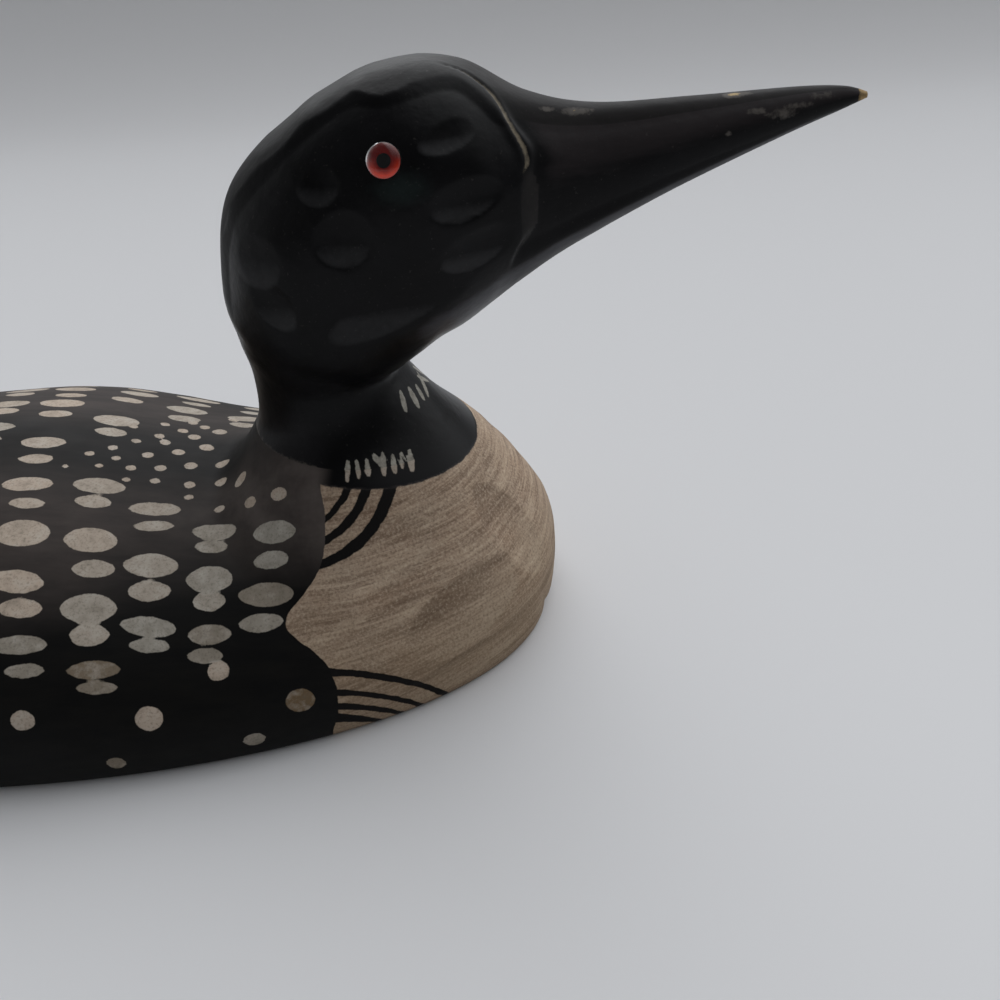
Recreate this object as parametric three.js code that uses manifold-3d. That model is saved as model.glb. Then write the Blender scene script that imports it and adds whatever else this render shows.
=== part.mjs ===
// A carved wooden loon decoy with a flat underside, a separate glued-on head and two glass eyes.
// Millimetres, +Z up, +X toward the bill; the origin is the middle of the flat underside.
import * as THREE from "three";
import { mergeVertices } from "three/addons/utils/BufferGeometryUtils.js";
import Module from "manifold-3d";

const wasm = await Module();
wasm.setup();

// Body block
const BASE_LENGTH = 227.5;
const BASE_WIDTH = 133.6;
const BREAST_OVERHANG = 3.5;
const TAIL_OVERHANG = 21;
const BODY_WIDTH = 140.6;
const BACK_HEIGHT = 53.5;
const BELLY_HEIGHT = 9; // the body is widest this far above its base edge
const BREAST_TIP_HEIGHT = 17;
const TAIL_TIP_HEIGHT = 27;
const TAIL_TIP_THICKNESS = 3;
const WIDEST_SHARE = 0.4444; // of the body's length, from the tail

// Neck foot, the flared stump that rises from the body to the glue joint
const FOOT_HEIGHT = 53; // where the flare turns up into the neck, at the neck's middle
const COLLAR_TILT = 8; // degrees; that edge runs down to the front and up to the back
const JOINT_TILT = 5.5; // degrees; the joint is at the foot's height in front and rises to the back
const NECK_LENGTH = 54.2;
const NECK_WIDTH = 54;
const NECK_SETBACK = 18.2; // behind the breast's front
const FOOT_FILLET = 9;
const LEAST_FILLET = 0.5;
const FOOT_MERGE = 10; // the foot's flare fades out over this height above the widest line
const NECK_ROOT = 3; // the neck's carving reaches this far down inside the foot
const ROOT_SHARE = 0.9; // and is this share of the foot's top edge there

// Head block: neck, head and bill in one
const HEAD_REACH = 140.6; // back of the neck to the bill's tip
const HEAD_RISE = 86; // foot's top edge to the crown
const HEAD_WIDTH = 49;
const GLUE_GAP = 0.3;

// Glass eyes
const EYE_DIAMETER = 8;
const EYE_DOME = 1.9;
const EYE_STUB = 2.4;
const EYE_PROUD = 0.2; // straight wall shown above the carved surface before the dome starts
const EYE_CLEARANCE = 0.2;
const EYE_STATION = 6.877; // in head rings
const EYE_TURN = 1.0554; // radians round the ring, from its top

// Fineness of the solids
const BODY_STEPS = 52;
const HEAD_STEPS = 65;
const HEAD_ROUND = 32;
const EYE_ROUND = 24;
const EYE_ARC_STEPS = 4;
const FLANK_STEPS = 15;
const CHAMFER_STEPS = 3;
const UNDERSIDE_STEPS = 2;

// Plan outlines: (1 - share^a)^b of the width, share running from the widest station to an end
const BREAST_PLAN = [1.85, 0.42];
const TAIL_PLAN = [2.3, 0.62];
const BASE_BREAST_PLAN = [1.8, 0.4];
const BASE_TAIL_PLAN = [2.2, 0.55];
const TAIL_LIFT_POWER = 1.3;

// Ridge line of the back: share of the body's length from the tail, share of the back's height
const CREST = [
  [0, 0.551],
  [0.0595, 0.636],
  [0.1389, 0.781],
  [0.2381, 0.92],
  [0.3373, 0.994],
  [0.42, 1],
  [0.5, 0.976],
  [0.5556, 0.935],
  [0.631, 0.867],
  [0.6944, 0.83],
  [0.75, 0.841],
  [0.8135, 0.888],
  [0.869, 0.925],
  [0.9048, 0.925],
  [0.9325, 0.871],
  [0.9563, 0.766],
  [0.9782, 0.621],
  [0.9944, 0.445],
  [1, 0.318],
];

// Fullness of the section above its widest height: share of the body's length, superellipse power
const FULLNESS = [
  [0, 2.1],
  [0.456, 2.1],
  [0.5556, 1.95],
  [0.6548, 1.8],
  [0.742, 1.8],
  [0.853, 1.8],
  [1, 1.85],
];

// Where the widest height leaves the belly and climbs to the tail and to the breast, shares of length
const TAIL_CLIMB = [0.258, 0];
const BREAST_CLIMB = [0.853, 1];

// Neck foot flare, for the back, the sides and the front: slope at its top edge, and its curve outward
// as a share of the neck's width
const FOOT_SLOPE = { back: 1.5, side: 1, front: 0.95 };
const FOOT_CURVE = { back: 0, side: 1.6, front: 6.5 };

// The neck's first ring is the foot's top edge: its reach, and its fall to the front and rise to the
// back, as shares of the head's own
const COLLAR_REACH = NECK_LENGTH / HEAD_REACH;
const COLLAR_RISE = (Math.tan(THREE.MathUtils.degToRad(COLLAR_TILT)) * NECK_LENGTH) / 2 / HEAD_RISE;

// Head rings, each spanned in the middle plane between an inner point (throat, chin, underside of the
// bill) and an outer one (nape, crown, top of the bill): inner reach and rise, outer reach and rise,
// width, superellipse power. Reach, rise and width are shares of the head's own.
const HEAD_RINGS = [
  [COLLAR_REACH, -COLLAR_RISE, 0, COLLAR_RISE, NECK_WIDTH / HEAD_WIDTH, 2],
  [0.33, 0.066, 0.015, 0.102, 0.83, 2],
  [0.286, 0.155, 0.021, 0.227, 0.75, 2.1],
  [0.27, 0.203, 0.014, 0.36, 0.82, 2.2],
  [0.294, 0.233, 0.012, 0.506, 0.92, 2.3],
  [0.33, 0.274, 0.056, 0.738, 0.99, 2.3],
  [0.361, 0.309, 0.188, 0.909, 1, 2.3],
  [0.398, 0.341, 0.309, 0.987, 0.96, 2.3],
  [0.44, 0.386, 0.415, 0.979, 0.84, 2.25],
  [0.497, 0.447, 0.511, 0.898, 0.63, 2.1],
  [0.58, 0.526, 0.611, 0.86, 0.47, 2],
  [0.721, 0.642, 0.753, 0.859, 0.34, 2],
  [0.878, 0.752, 0.899, 0.864, 0.19, 2],
  [0.963, 0.805, 0.967, 0.859, 0.09, 2],
  [1, 0.829, 1, 0.843, 0.03, 2],
];

// Shallow gouge cuts on both sides of the head, in side view: reach and rise of the centre as shares
// of the head's own, length and width as shares of the head's width, upward tilt in degrees, and
// depth as a share of a full cut
const GOUGE_DEPTH = 0.8;
const HEAD_GOUGES = [
  [0.417, 0.871, 0.41, 0.18, 15, 0.9],
  [0.423, 0.721, 0.47, 0.22, 12, 1],
  [0.431, 0.598, 0.45, 0.24, 20, 1],
  [0.255, 0.663, 0.37, 0.33, 0, 1],
  [0.215, 0.781, 0.31, 0.29, 0, 0.9],
  [0.105, 0.63, 0.31, 0.45, 10, 1.1],
  [0.117, 0.502, 0.24, 0.37, 10, 0.9],
  [0.272, 0.936, 0.24, 0.16, 0, 0.6],
  [0.312, 0.497, 0.86, 0.33, 25, 1],
];

// Shallow gouge cuts on both sides of the breast: bearing in degrees off the bill's direction, seen
// from the breast's centre, height as a share of the back's, length round the breast and width as
// shares of the body's width, upward tilt in degrees, and depth as a share of a full cut
const BREAST_CENTRE_SHARE = 0.655;
const BREAST_GOUGES = [
  [28, 0.428, 0.24, 0.11, 18, 1.2],
  [30, 0.165, 0.33, 0.065, 8, 1],
  [13, 0.603, 0.1, 0.185, 0, 1],
  [38, 0.748, 0.21, 0.1, 10, 0.75],
];

const BREAST_X = BASE_LENGTH / 2 + BREAST_OVERHANG;
const TAIL_X = -BASE_LENGTH / 2 - TAIL_OVERHANG;
const BODY_LENGTH = BREAST_X - TAIL_X;
const WIDEST_X = TAIL_X + WIDEST_SHARE * BODY_LENGTH;
const NECK_FRONT_X = BREAST_X - NECK_SETBACK;
const NECK_BACK_X = NECK_FRONT_X - NECK_LENGTH;
const NECK_X = (NECK_FRONT_X + NECK_BACK_X) / 2;

const clamp = THREE.MathUtils.clamp;

function smooth(from, to, x) {
  const t = clamp((x - from) / (to - from), 0, 1);
  return t * t * (3 - 2 * t);
}

// A curve through the rows of a table that never swings past them.
function follow(table, x) {
  const last = table.length - 1;
  const at = clamp(x, table[0][0], table[last][0]);
  let k = 0;
  while (k < last - 1 && at > table[k + 1][0]) k += 1;
  const step = (i) => table[i + 1][0] - table[i][0];
  const secant = (i) => (table[i + 1][1] - table[i][1]) / step(i);
  const slope = (i) => {
    if (i === 0) return secant(0);
    if (i === last) return secant(last - 1);
    if (secant(i - 1) * secant(i) <= 0) return 0;
    const before = 2 * step(i) + step(i - 1);
    const after = step(i) + 2 * step(i - 1);
    return (before + after) / (before / secant(i - 1) + after / secant(i));
  };
  const h = step(k);
  const t = (at - table[k][0]) / h;
  const rise = t * t * (3 - 2 * t);
  return (
    table[k][1] * (1 - rise) +
    table[k + 1][1] * rise +
    h * t * (1 - t) * (slope(k) * (1 - t) - slope(k + 1) * t)
  );
}

// A smooth curve through evenly spaced rows of numbers.
function throughRows(rows, t) {
  const last = rows.length - 1;
  const k = Math.min(Math.floor(clamp(t, 0, last)), last - 1);
  const f = clamp(t, 0, last) - k;
  const row = (i) => rows[clamp(i, 0, last)];
  return rows[0].map((_, c) => {
    const [a, b, d, e] = [row(k - 1)[c], row(k)[c], row(k + 1)[c], row(k + 2)[c]];
    const bend = 2 * a - 5 * b + 4 * d - e;
    const twist = 3 * b - a - 3 * d + e;
    return 0.5 * (2 * b + (d - a) * f + bend * f ** 2 + twist * f ** 3);
  });
}

function planWidth(width, x, breastX, breastPlan, tailX, tailPlan) {
  const ahead = x > WIDEST_X;
  const share = ahead ? (x - WIDEST_X) / (breastX - WIDEST_X) : (WIDEST_X - x) / (WIDEST_X - tailX);
  const [a, b] = ahead ? breastPlan : tailPlan;
  return (width / 2) * (1 - clamp(share, 0, 1) ** a) ** b;
}

// Height of the body's lower edge: the flat base, with the breast and the tail lifting clear of it.
function lowerEdge(x) {
  const front = clamp((x - BASE_LENGTH / 2) / BREAST_OVERHANG, 0, 1);
  const back = clamp((-BASE_LENGTH / 2 - x) / TAIL_OVERHANG, 0, 1);
  const tailUnder = TAIL_TIP_HEIGHT - TAIL_TIP_THICKNESS / 2;
  return BREAST_TIP_HEIGHT * (1 - Math.sqrt(1 - front * front)) + tailUnder * back ** TAIL_LIFT_POWER;
}

function widestHeight(x) {
  const share = (x - TAIL_X) / BODY_LENGTH;
  return (
    BELLY_HEIGHT +
    (TAIL_TIP_HEIGHT - BELLY_HEIGHT) * smooth(TAIL_CLIMB[0], TAIL_CLIMB[1], share) +
    (BREAST_TIP_HEIGHT - BELLY_HEIGHT) * smooth(BREAST_CLIMB[0], BREAST_CLIMB[1], share)
  );
}

// Raises a point of the back onto the neck's flared foot, which meets the neck's first ring at its top.
function withNeckFoot(x, y, z, floor) {
  const u = (x - NECK_X) / (NECK_LENGTH / 2);
  const ring = Math.hypot(u, y / (NECK_WIDTH / 2));
  const radius = ring > 0.001 ? Math.hypot(x - NECK_X, y) / ring : NECK_WIDTH / 2;
  const facing = ring > 0.001 ? u / ring : 0;
  const back = clamp(-facing, 0, 1) ** 2;
  const front = clamp(facing, 0, 1);
  const blend = (set) => set.side + (set.back - set.side) * back + (set.front - set.side) * front;
  const outward = (ring - 1) * radius;
  const edge = FOOT_HEIGHT - (COLLAR_RISE * HEAD_RISE * u) / Math.max(ring, 1);
  const curve = (blend(FOOT_CURVE) * Math.max(outward, 0) ** 2) / NECK_WIDTH;
  const foot = edge - blend(FOOT_SLOPE) * outward - curve;
  const fillet = clamp(edge - z, LEAST_FILLET, FOOT_FILLET);
  const raised = Math.max(z, foot) + Math.max(fillet - Math.abs(z - foot), 0) ** 2 / (4 * fillet);
  return z + (raised - z) * smooth(0, FOOT_MERGE, z - floor);
}

// One section across the body: back, flank, chamfer and flat underside, right half then left half.
function bodySection(x) {
  const share = (x - TAIL_X) / BODY_LENGTH;
  const half = planWidth(BODY_WIDTH, x, BREAST_X, BREAST_PLAN, TAIL_X, TAIL_PLAN);
  const baseEnd = BASE_LENGTH / 2;
  const baseHalf = planWidth(BASE_WIDTH, x, baseEnd, BASE_BREAST_PLAN, -baseEnd, BASE_TAIL_PLAN);
  const top = follow(CREST, share) * BACK_HEIGHT;
  const side = widestHeight(x);
  const bottom = lowerEdge(x);
  const power = 2 / follow(FULLNESS, share);
  const right = [];
  for (let i = 0; i <= FLANK_STEPS; i += 1) {
    const a = ((Math.PI / 2) * i) / FLANK_STEPS;
    const y = half * Math.sin(a) ** power;
    const z = side + (top - side) * Math.max(Math.cos(a), 0) ** power;
    right.push([y, withNeckFoot(x, y, z, side)]);
  }
  for (let i = 1; i <= CHAMFER_STEPS; i += 1) {
    const a = ((Math.PI / 2) * i) / CHAMFER_STEPS;
    right.push([baseHalf + (half - baseHalf) * Math.cos(a), side - (side - bottom) * Math.sin(a)]);
  }
  for (let i = 1; i <= UNDERSIDE_STEPS; i += 1) right.push([baseHalf * (1 - i / UNDERSIDE_STEPS), bottom]);
  const left = right.slice(1, -1).reverse();
  return [
    ...right.map(([y, z]) => new THREE.Vector3(x, -y, z)),
    ...left.map(([y, z]) => new THREE.Vector3(x, y, z)),
  ];
}

function headNumbers(station) {
  const [innerU, innerV, outerU, outerV, width, power] = throughRows(HEAD_RINGS, station);
  return {
    inner: new THREE.Vector3(NECK_BACK_X + innerU * HEAD_REACH, 0, FOOT_HEIGHT + innerV * HEAD_RISE),
    outer: new THREE.Vector3(NECK_BACK_X + outerU * HEAD_REACH, 0, FOOT_HEIGHT + outerV * HEAD_RISE),
    half: (width * HEAD_WIDTH) / 2,
    power: 2 / power,
  };
}

// A point of the head's surface; turn 0 is the outer line and the right side comes first.
function headPoint(station, turn) {
  const { inner, outer, half, power } = headNumbers(station);
  const swell = (value) => Math.sign(value) * Math.abs(value) ** power;
  const across = (1 + swell(Math.cos(turn))) / 2;
  return inner.clone().lerp(outer, across).setY(-half * swell(Math.sin(turn)));
}

// Joins rings of points into one closed surface, each end drawn together in a single point.
function skin(rings, firstTip, lastTip) {
  const round = rings[0].length;
  const points = [...rings.flat(), firstTip, lastTip];
  const faces = [];
  for (let j = 0; j < round; j += 1) {
    const k = (j + 1) % round;
    for (let i = 0; i + 1 < rings.length; i += 1) {
      const [a, b] = [i * round, (i + 1) * round];
      faces.push(a + j, a + k, b + k, a + j, b + k, b + j);
    }
    const end = (rings.length - 1) * round;
    faces.push(points.length - 2, k, j, points.length - 1, end + j, end + k);
  }
  const geometry = new THREE.BufferGeometry().setFromPoints(points);
  geometry.setIndex(faces);
  geometry.computeVertexNormals();
  return geometry;
}

// Sinks every point of a surface along its normal by the depth given for its place.
function carve(geometry, depthAt) {
  const at = geometry.attributes.position;
  const normal = geometry.attributes.normal;
  for (let i = 0; i < at.count; i += 1) {
    const point = new THREE.Vector3().fromBufferAttribute(at, i);
    const outward = new THREE.Vector3().fromBufferAttribute(normal, i);
    const sunk = point.clone().addScaledVector(outward, -depthAt(point));
    at.setXYZ(i, sunk.x, sunk.y, sunk.z);
  }
  return geometry;
}

// Depth of one bowl-shaped cut at a place given along and across its own length.
function scoop(alongOffset, acrossOffset, length, width, tilt, depth) {
  const turn = THREE.MathUtils.degToRad(tilt);
  const along = alongOffset * Math.cos(turn) + acrossOffset * Math.sin(turn);
  const across = acrossOffset * Math.cos(turn) - alongOffset * Math.sin(turn);
  const inside = Math.max(0, 1 - ((2 * along) / length) ** 2 - ((2 * across) / width) ** 2);
  return depth * GOUGE_DEPTH * inside;
}

function headGougeDepth({ x, z }) {
  return HEAD_GOUGES.reduce((deepest, [reach, rise, length, width, tilt, depth]) => {
    const along = x - (NECK_BACK_X + reach * HEAD_REACH);
    const across = z - (FOOT_HEIGHT + rise * HEAD_RISE);
    return Math.max(deepest, scoop(along, across, length * HEAD_WIDTH, width * HEAD_WIDTH, tilt, depth));
  }, 0);
}

function breastGougeDepth({ x, y, z }) {
  const centreX = TAIL_X + BREAST_CENTRE_SHARE * BODY_LENGTH;
  const radius = Math.hypot(x - centreX, y);
  const bearing = Math.atan2(Math.abs(y), x - centreX);
  return BREAST_GOUGES.reduce((deepest, [degrees, height, length, width, tilt, depth]) => {
    const along = (THREE.MathUtils.degToRad(degrees) - bearing) * radius;
    const across = z - height * BACK_HEIGHT;
    return Math.max(deepest, scoop(along, across, length * BODY_WIDTH, width * BODY_WIDTH, tilt, depth));
  }, 0);
}

// A closed geometry as a solid that can be cut or joined.
function toSolid(geometry) {
  const bare = geometry.clone();
  bare.deleteAttribute("normal");
  bare.deleteAttribute("uv");
  const merged = mergeVertices(bare, 0.0001);
  return new wasm.Manifold(
    new wasm.Mesh({
      numProp: 3,
      vertProperties: merged.attributes.position.array,
      triVerts: new Uint32Array(merged.index.array),
    }),
  );
}

function toGeometry(solid) {
  const mesh = solid.getMesh();
  const geometry = new THREE.BufferGeometry();
  geometry.setAttribute("position", new THREE.BufferAttribute(mesh.vertProperties, mesh.numProp));
  geometry.setIndex(new THREE.BufferAttribute(mesh.triVerts, 1));
  geometry.computeVertexNormals();
  return geometry;
}

// Turns a geometry made round the Y axis to stand on an eye's place, on the right (-1) or left (1).
function ontoEye(geometry, side) {
  const step = 0.01;
  const centre = headPoint(EYE_STATION, EYE_TURN);
  const along = headPoint(EYE_STATION + step, EYE_TURN).sub(centre);
  const round = headPoint(EYE_STATION, EYE_TURN + step).sub(centre);
  const outward = along.cross(round).normalize();
  if (outward.y > 0) outward.negate();
  outward.y *= -side;
  centre.y *= -side;
  const turn = new THREE.Quaternion().setFromUnitVectors(new THREE.Vector3(0, 1, 0), outward);
  return geometry.applyQuaternion(turn).translate(centre.x, centre.y, centre.z);
}

// Body block's carving, the neck foot still running up into the neck
const bodyRings = [];
for (let i = 1; i < BODY_STEPS; i += 1) {
  const c = -Math.cos((Math.PI * i) / BODY_STEPS);
  bodyRings.push(bodySection(WIDEST_X + c * (c < 0 ? WIDEST_X - TAIL_X : BREAST_X - WIDEST_X)));
}
const bodySkin = skin(
  bodyRings,
  new THREE.Vector3(TAIL_X, 0, TAIL_TIP_HEIGHT),
  new THREE.Vector3(BREAST_X, 0, BREAST_TIP_HEIGHT),
);

// Head block's carving, from inside the foot to the bill's tip
const headRings = [];
for (let i = 0; i <= HEAD_STEPS; i += 1) {
  const station = ((HEAD_RINGS.length - 1) * i) / HEAD_STEPS;
  const ring = [];
  for (let j = 0; j < HEAD_ROUND; j += 1) ring.push(headPoint(station, (2 * Math.PI * j) / HEAD_ROUND));
  headRings.push(ring);
}
const root = new THREE.Vector3(NECK_X, 0, FOOT_HEIGHT - NECK_ROOT);
const rootRing = headRings[0].map((point) => point.clone().lerp(root, 1 - ROOT_SHARE));
headRings.unshift(rootRing.map((point, j) => point.setZ(headRings[0][j].z - NECK_ROOT)));
const tip = headNumbers(HEAD_RINGS.length - 1);
const headSkin = skin(headRings, root, tip.inner.clone().lerp(tip.outer, 0.5));

// Both blocks glued up, then sawn apart again on the tilted joint
const loonSolid = toSolid(carve(bodySkin, breastGougeDepth)).add(toSolid(carve(headSkin, headGougeDepth)));
function aboveJoint(lift) {
  const box = new THREE.BoxGeometry(2 * HEAD_REACH, 2 * NECK_WIDTH, 2 * HEAD_RISE);
  box.translate(0, 0, HEAD_RISE + lift);
  box.rotateY(THREE.MathUtils.degToRad(JOINT_TILT));
  return toSolid(box.translate(NECK_FRONT_X, 0, FOOT_HEIGHT));
}
const bodySolid = loonSolid.subtract(aboveJoint(0));

// Head, with a round socket for each eye
function socket() {
  const depth = EYE_STUB + EYE_CLEARANCE;
  const open = EYE_PROUD + EYE_DOME;
  const radius = EYE_DIAMETER / 2 + EYE_CLEARANCE;
  const bore = new THREE.CylinderGeometry(radius, radius, depth + open, EYE_ROUND);
  return bore.translate(0, (open - depth) / 2, 0);
}
const headSolid = loonSolid
  .intersect(aboveJoint(GLUE_GAP))
  .subtract(toSolid(ontoEye(socket(), -1)))
  .subtract(toSolid(ontoEye(socket(), 1)));

// Eye: a short stub under a flattened dome
function eyeGeometry() {
  const radius = EYE_DIAMETER / 2;
  const profile = [new THREE.Vector2(0, -EYE_STUB), new THREE.Vector2(radius, -EYE_STUB)];
  for (let i = 0; i <= EYE_ARC_STEPS; i += 1) {
    const a = ((Math.PI / 2) * i) / EYE_ARC_STEPS;
    const r = i === EYE_ARC_STEPS ? 0 : radius * Math.cos(a);
    profile.push(new THREE.Vector2(r, EYE_PROUD + EYE_DOME * Math.sin(a)));
  }
  return new THREE.LatheGeometry(profile, EYE_ROUND);
}

const PAINTED_BODY = new THREE.MeshStandardMaterial({ color: 0x4a423a, roughness: 0.7, metalness: 0 });
const PAINTED_HEAD = new THREE.MeshStandardMaterial({ color: 0x15151a, roughness: 0.4, metalness: 0 });
const RED_GLASS = new THREE.MeshStandardMaterial({ color: 0x6a0a08, roughness: 0.08, metalness: 0 });

function named(name, geometry, material) {
  const mesh = new THREE.Mesh(geometry, material.clone());
  mesh.name = name;
  return mesh;
}

const loon = new THREE.Group();
loon.add(
  named("body", toGeometry(bodySolid), PAINTED_BODY),
  named("head", toGeometry(headSolid), PAINTED_HEAD),
  named("eye_right", toGeometry(toSolid(ontoEye(eyeGeometry(), -1))), RED_GLASS),
  named("eye_left", toGeometry(toSolid(ontoEye(eyeGeometry(), 1))), RED_GLASS),
);

export default loon;
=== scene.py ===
"""A carved and painted wooden loon decoy with glass eyes, on a pale floor. Metres, +X toward the bill."""

import math

import bpy
import numpy as np
from mathutils import Matrix, Vector


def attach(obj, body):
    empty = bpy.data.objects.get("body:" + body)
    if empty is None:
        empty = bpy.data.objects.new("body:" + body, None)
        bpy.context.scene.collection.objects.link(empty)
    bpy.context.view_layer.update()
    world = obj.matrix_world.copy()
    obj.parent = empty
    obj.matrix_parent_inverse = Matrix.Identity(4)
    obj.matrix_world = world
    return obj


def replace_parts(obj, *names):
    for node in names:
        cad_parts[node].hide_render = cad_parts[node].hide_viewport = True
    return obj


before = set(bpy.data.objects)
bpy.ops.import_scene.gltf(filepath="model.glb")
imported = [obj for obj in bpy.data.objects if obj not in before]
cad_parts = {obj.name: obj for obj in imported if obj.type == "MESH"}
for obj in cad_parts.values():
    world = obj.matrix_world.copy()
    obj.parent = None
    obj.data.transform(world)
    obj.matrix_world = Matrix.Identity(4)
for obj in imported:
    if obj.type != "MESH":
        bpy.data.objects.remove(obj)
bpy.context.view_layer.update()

# Body: one block of softwood, shaped with a drawknife and gouges, flat underneath, its flared neck foot
# sawn off on a slope for the glued-on head. Brush-painted matt: black-brown mantle with cream spots,
# rubbed tan breast, black hoops at the mantle's front edge.

BASE_LENGTH = 0.2275
BASE_WIDTH = 0.1336
BREAST_OVERHANG = 0.0035
TAIL_OVERHANG = 0.021
BODY_WIDTH = 0.1406
BACK_HEIGHT = 0.0535
BELLY_HEIGHT = 0.009
BREAST_TIP_HEIGHT = 0.017
TAIL_TIP_HEIGHT = 0.027
TAIL_TIP_THICKNESS = 0.003
WIDEST_SHARE = 0.4444
FOOT_HEIGHT = 0.053
COLLAR_TILT = math.radians(8)
JOINT_TILT = math.radians(5.5)
NECK_LENGTH = 0.0542
NECK_WIDTH = 0.054
NECK_SETBACK = 0.0182
FOOT_FILLET = 0.009
LEAST_FILLET = 0.0005
FOOT_MERGE = 0.010
HEAD_REACH = 0.1406
HEAD_RISE = 0.086
HEAD_WIDTH = 0.049

BREAST_PLAN = (1.85, 0.42)
TAIL_PLAN = (2.3, 0.62)
BASE_BREAST_PLAN = (1.8, 0.4)
BASE_TAIL_PLAN = (2.2, 0.55)
TAIL_LIFT_POWER = 1.3
CREST = [
    (0, 0.551), (0.0595, 0.636), (0.1389, 0.781), (0.2381, 0.92), (0.3373, 0.994), (0.42, 1), (0.5, 0.976),
    (0.5556, 0.935), (0.631, 0.867), (0.6944, 0.83), (0.75, 0.841), (0.8135, 0.888), (0.869, 0.925),
    (0.9048, 0.925), (0.9325, 0.871), (0.9563, 0.766), (0.9782, 0.621), (0.9944, 0.445), (1, 0.318),
]
FULLNESS = [(0, 2.1), (0.456, 2.1), (0.5556, 1.95), (0.6548, 1.8), (0.742, 1.8), (0.853, 1.8), (1, 1.85)]
TAIL_CLIMB = (0.258, 0)
BREAST_CLIMB = (0.853, 1)
FOOT_SLOPE = {"back": 1.5, "side": 1, "front": 0.95}
FOOT_CURVE = {"back": 0, "side": 1.6, "front": 6.5}
COLLAR_FALL = math.tan(COLLAR_TILT) * NECK_LENGTH / 2
COLLAR_SHARE = COLLAR_FALL / HEAD_RISE

# Rings of the neck, head and bill: inner reach and rise, outer reach and rise, width, superellipse power
HEAD_RINGS = np.array([
    (NECK_LENGTH / HEAD_REACH, -COLLAR_SHARE, 0, COLLAR_SHARE, NECK_WIDTH / HEAD_WIDTH, 2),
    (0.33, 0.066, 0.015, 0.102, 0.83, 2),
    (0.286, 0.155, 0.021, 0.227, 0.75, 2.1),
    (0.27, 0.203, 0.014, 0.36, 0.82, 2.2),
    (0.294, 0.233, 0.012, 0.506, 0.92, 2.3),
    (0.33, 0.274, 0.056, 0.738, 0.99, 2.3),
    (0.361, 0.309, 0.188, 0.909, 1, 2.3),
    (0.398, 0.341, 0.309, 0.987, 0.96, 2.3),
    (0.44, 0.386, 0.415, 0.979, 0.84, 2.25),
    (0.497, 0.447, 0.511, 0.898, 0.63, 2.1),
    (0.58, 0.526, 0.611, 0.86, 0.47, 2),
    (0.721, 0.642, 0.753, 0.859, 0.34, 2),
    (0.878, 0.752, 0.899, 0.864, 0.19, 2),
    (0.963, 0.805, 0.967, 0.859, 0.09, 2),
    (1, 0.829, 1, 0.843, 0.03, 2),
])

BREAST_X = BASE_LENGTH / 2 + BREAST_OVERHANG
TAIL_X = -BASE_LENGTH / 2 - TAIL_OVERHANG
BODY_LENGTH = BREAST_X - TAIL_X
WIDEST_X = TAIL_X + WIDEST_SHARE * BODY_LENGTH
NECK_FRONT_X = BREAST_X - NECK_SETBACK
NECK_BACK_X = NECK_FRONT_X - NECK_LENGTH
NECK_X = (NECK_FRONT_X + NECK_BACK_X) / 2


def smooth(start, end, x):
    t = np.clip((x - start) / (end - start), 0, 1)
    return t * t * (3 - 2 * t)


def follow(table, x):
    """A curve through the rows of a table that never swings past them."""
    xs, ys = np.array(table, float).T
    h = np.diff(xs)
    secant = np.diff(ys) / h
    slope = np.r_[secant[0], np.zeros(len(h) - 1), secant[-1]]
    for i in range(1, len(h)):
        if secant[i - 1] * secant[i] > 0:
            before, after = 2 * h[i] + h[i - 1], h[i] + 2 * h[i - 1]
            slope[i] = (before + after) / (before / secant[i - 1] + after / secant[i])
    x = np.clip(x, xs[0], xs[-1])
    k = np.clip(np.searchsorted(xs, x, side="right") - 1, 0, len(h) - 1)
    t = (x - xs[k]) / h[k]
    rise = t * t * (3 - 2 * t)
    bend = h[k] * t * (1 - t) * (slope[k] * (1 - t) - slope[k + 1] * t)
    return ys[k] * (1 - rise) + ys[k + 1] * rise + bend


def plan_width(width, x, breast_x, breast_plan, tail_x, tail_plan):
    ahead = np.clip((x - WIDEST_X) / (breast_x - WIDEST_X), 0, 1)
    behind = np.clip((WIDEST_X - x) / (WIDEST_X - tail_x), 0, 1)
    front = (1 - ahead ** breast_plan[0]) ** breast_plan[1]
    return width / 2 * np.where(x > WIDEST_X, front, (1 - behind ** tail_plan[0]) ** tail_plan[1])


def foot_ring(x, y):
    """How far out from the neck's middle a place is (1 on the foot's top edge), and that in metres."""
    u = (x - NECK_X) / (NECK_LENGTH / 2)
    ring = np.maximum(np.hypot(u, y / (NECK_WIDTH / 2)), 1e-3)
    return u, ring, (ring - 1) * np.hypot(x - NECK_X, y) / ring


INNER_FALL = 0.8


def with_neck_foot(x, y, z, floor):
    """Raises the block's surface into the flared stump that the neck stands on."""
    u, ring, outward = foot_ring(x, y)
    back, front = np.clip(-u / ring, 0, 1) ** 2, np.clip(u / ring, 0, 1)

    def blend(part):
        return part["side"] + (part["back"] - part["side"]) * back + (part["front"] - part["side"]) * front

    edge = FOOT_HEIGHT - COLLAR_FALL * u / np.maximum(ring, 1)
    fall = outward * np.where(outward < 0, INNER_FALL, 1)
    curve = blend(FOOT_CURVE) * np.maximum(outward, 0) ** 2 / NECK_WIDTH
    foot = edge - blend(FOOT_SLOPE) * fall - curve
    fillet = np.clip(edge - z, LEAST_FILLET, FOOT_FILLET)
    raised = np.maximum(z, foot) + np.maximum(fillet - abs(z - foot), 0) ** 2 / (4 * fillet)
    return z + (raised - z) * smooth(0, FOOT_MERGE, z - floor)


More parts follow.
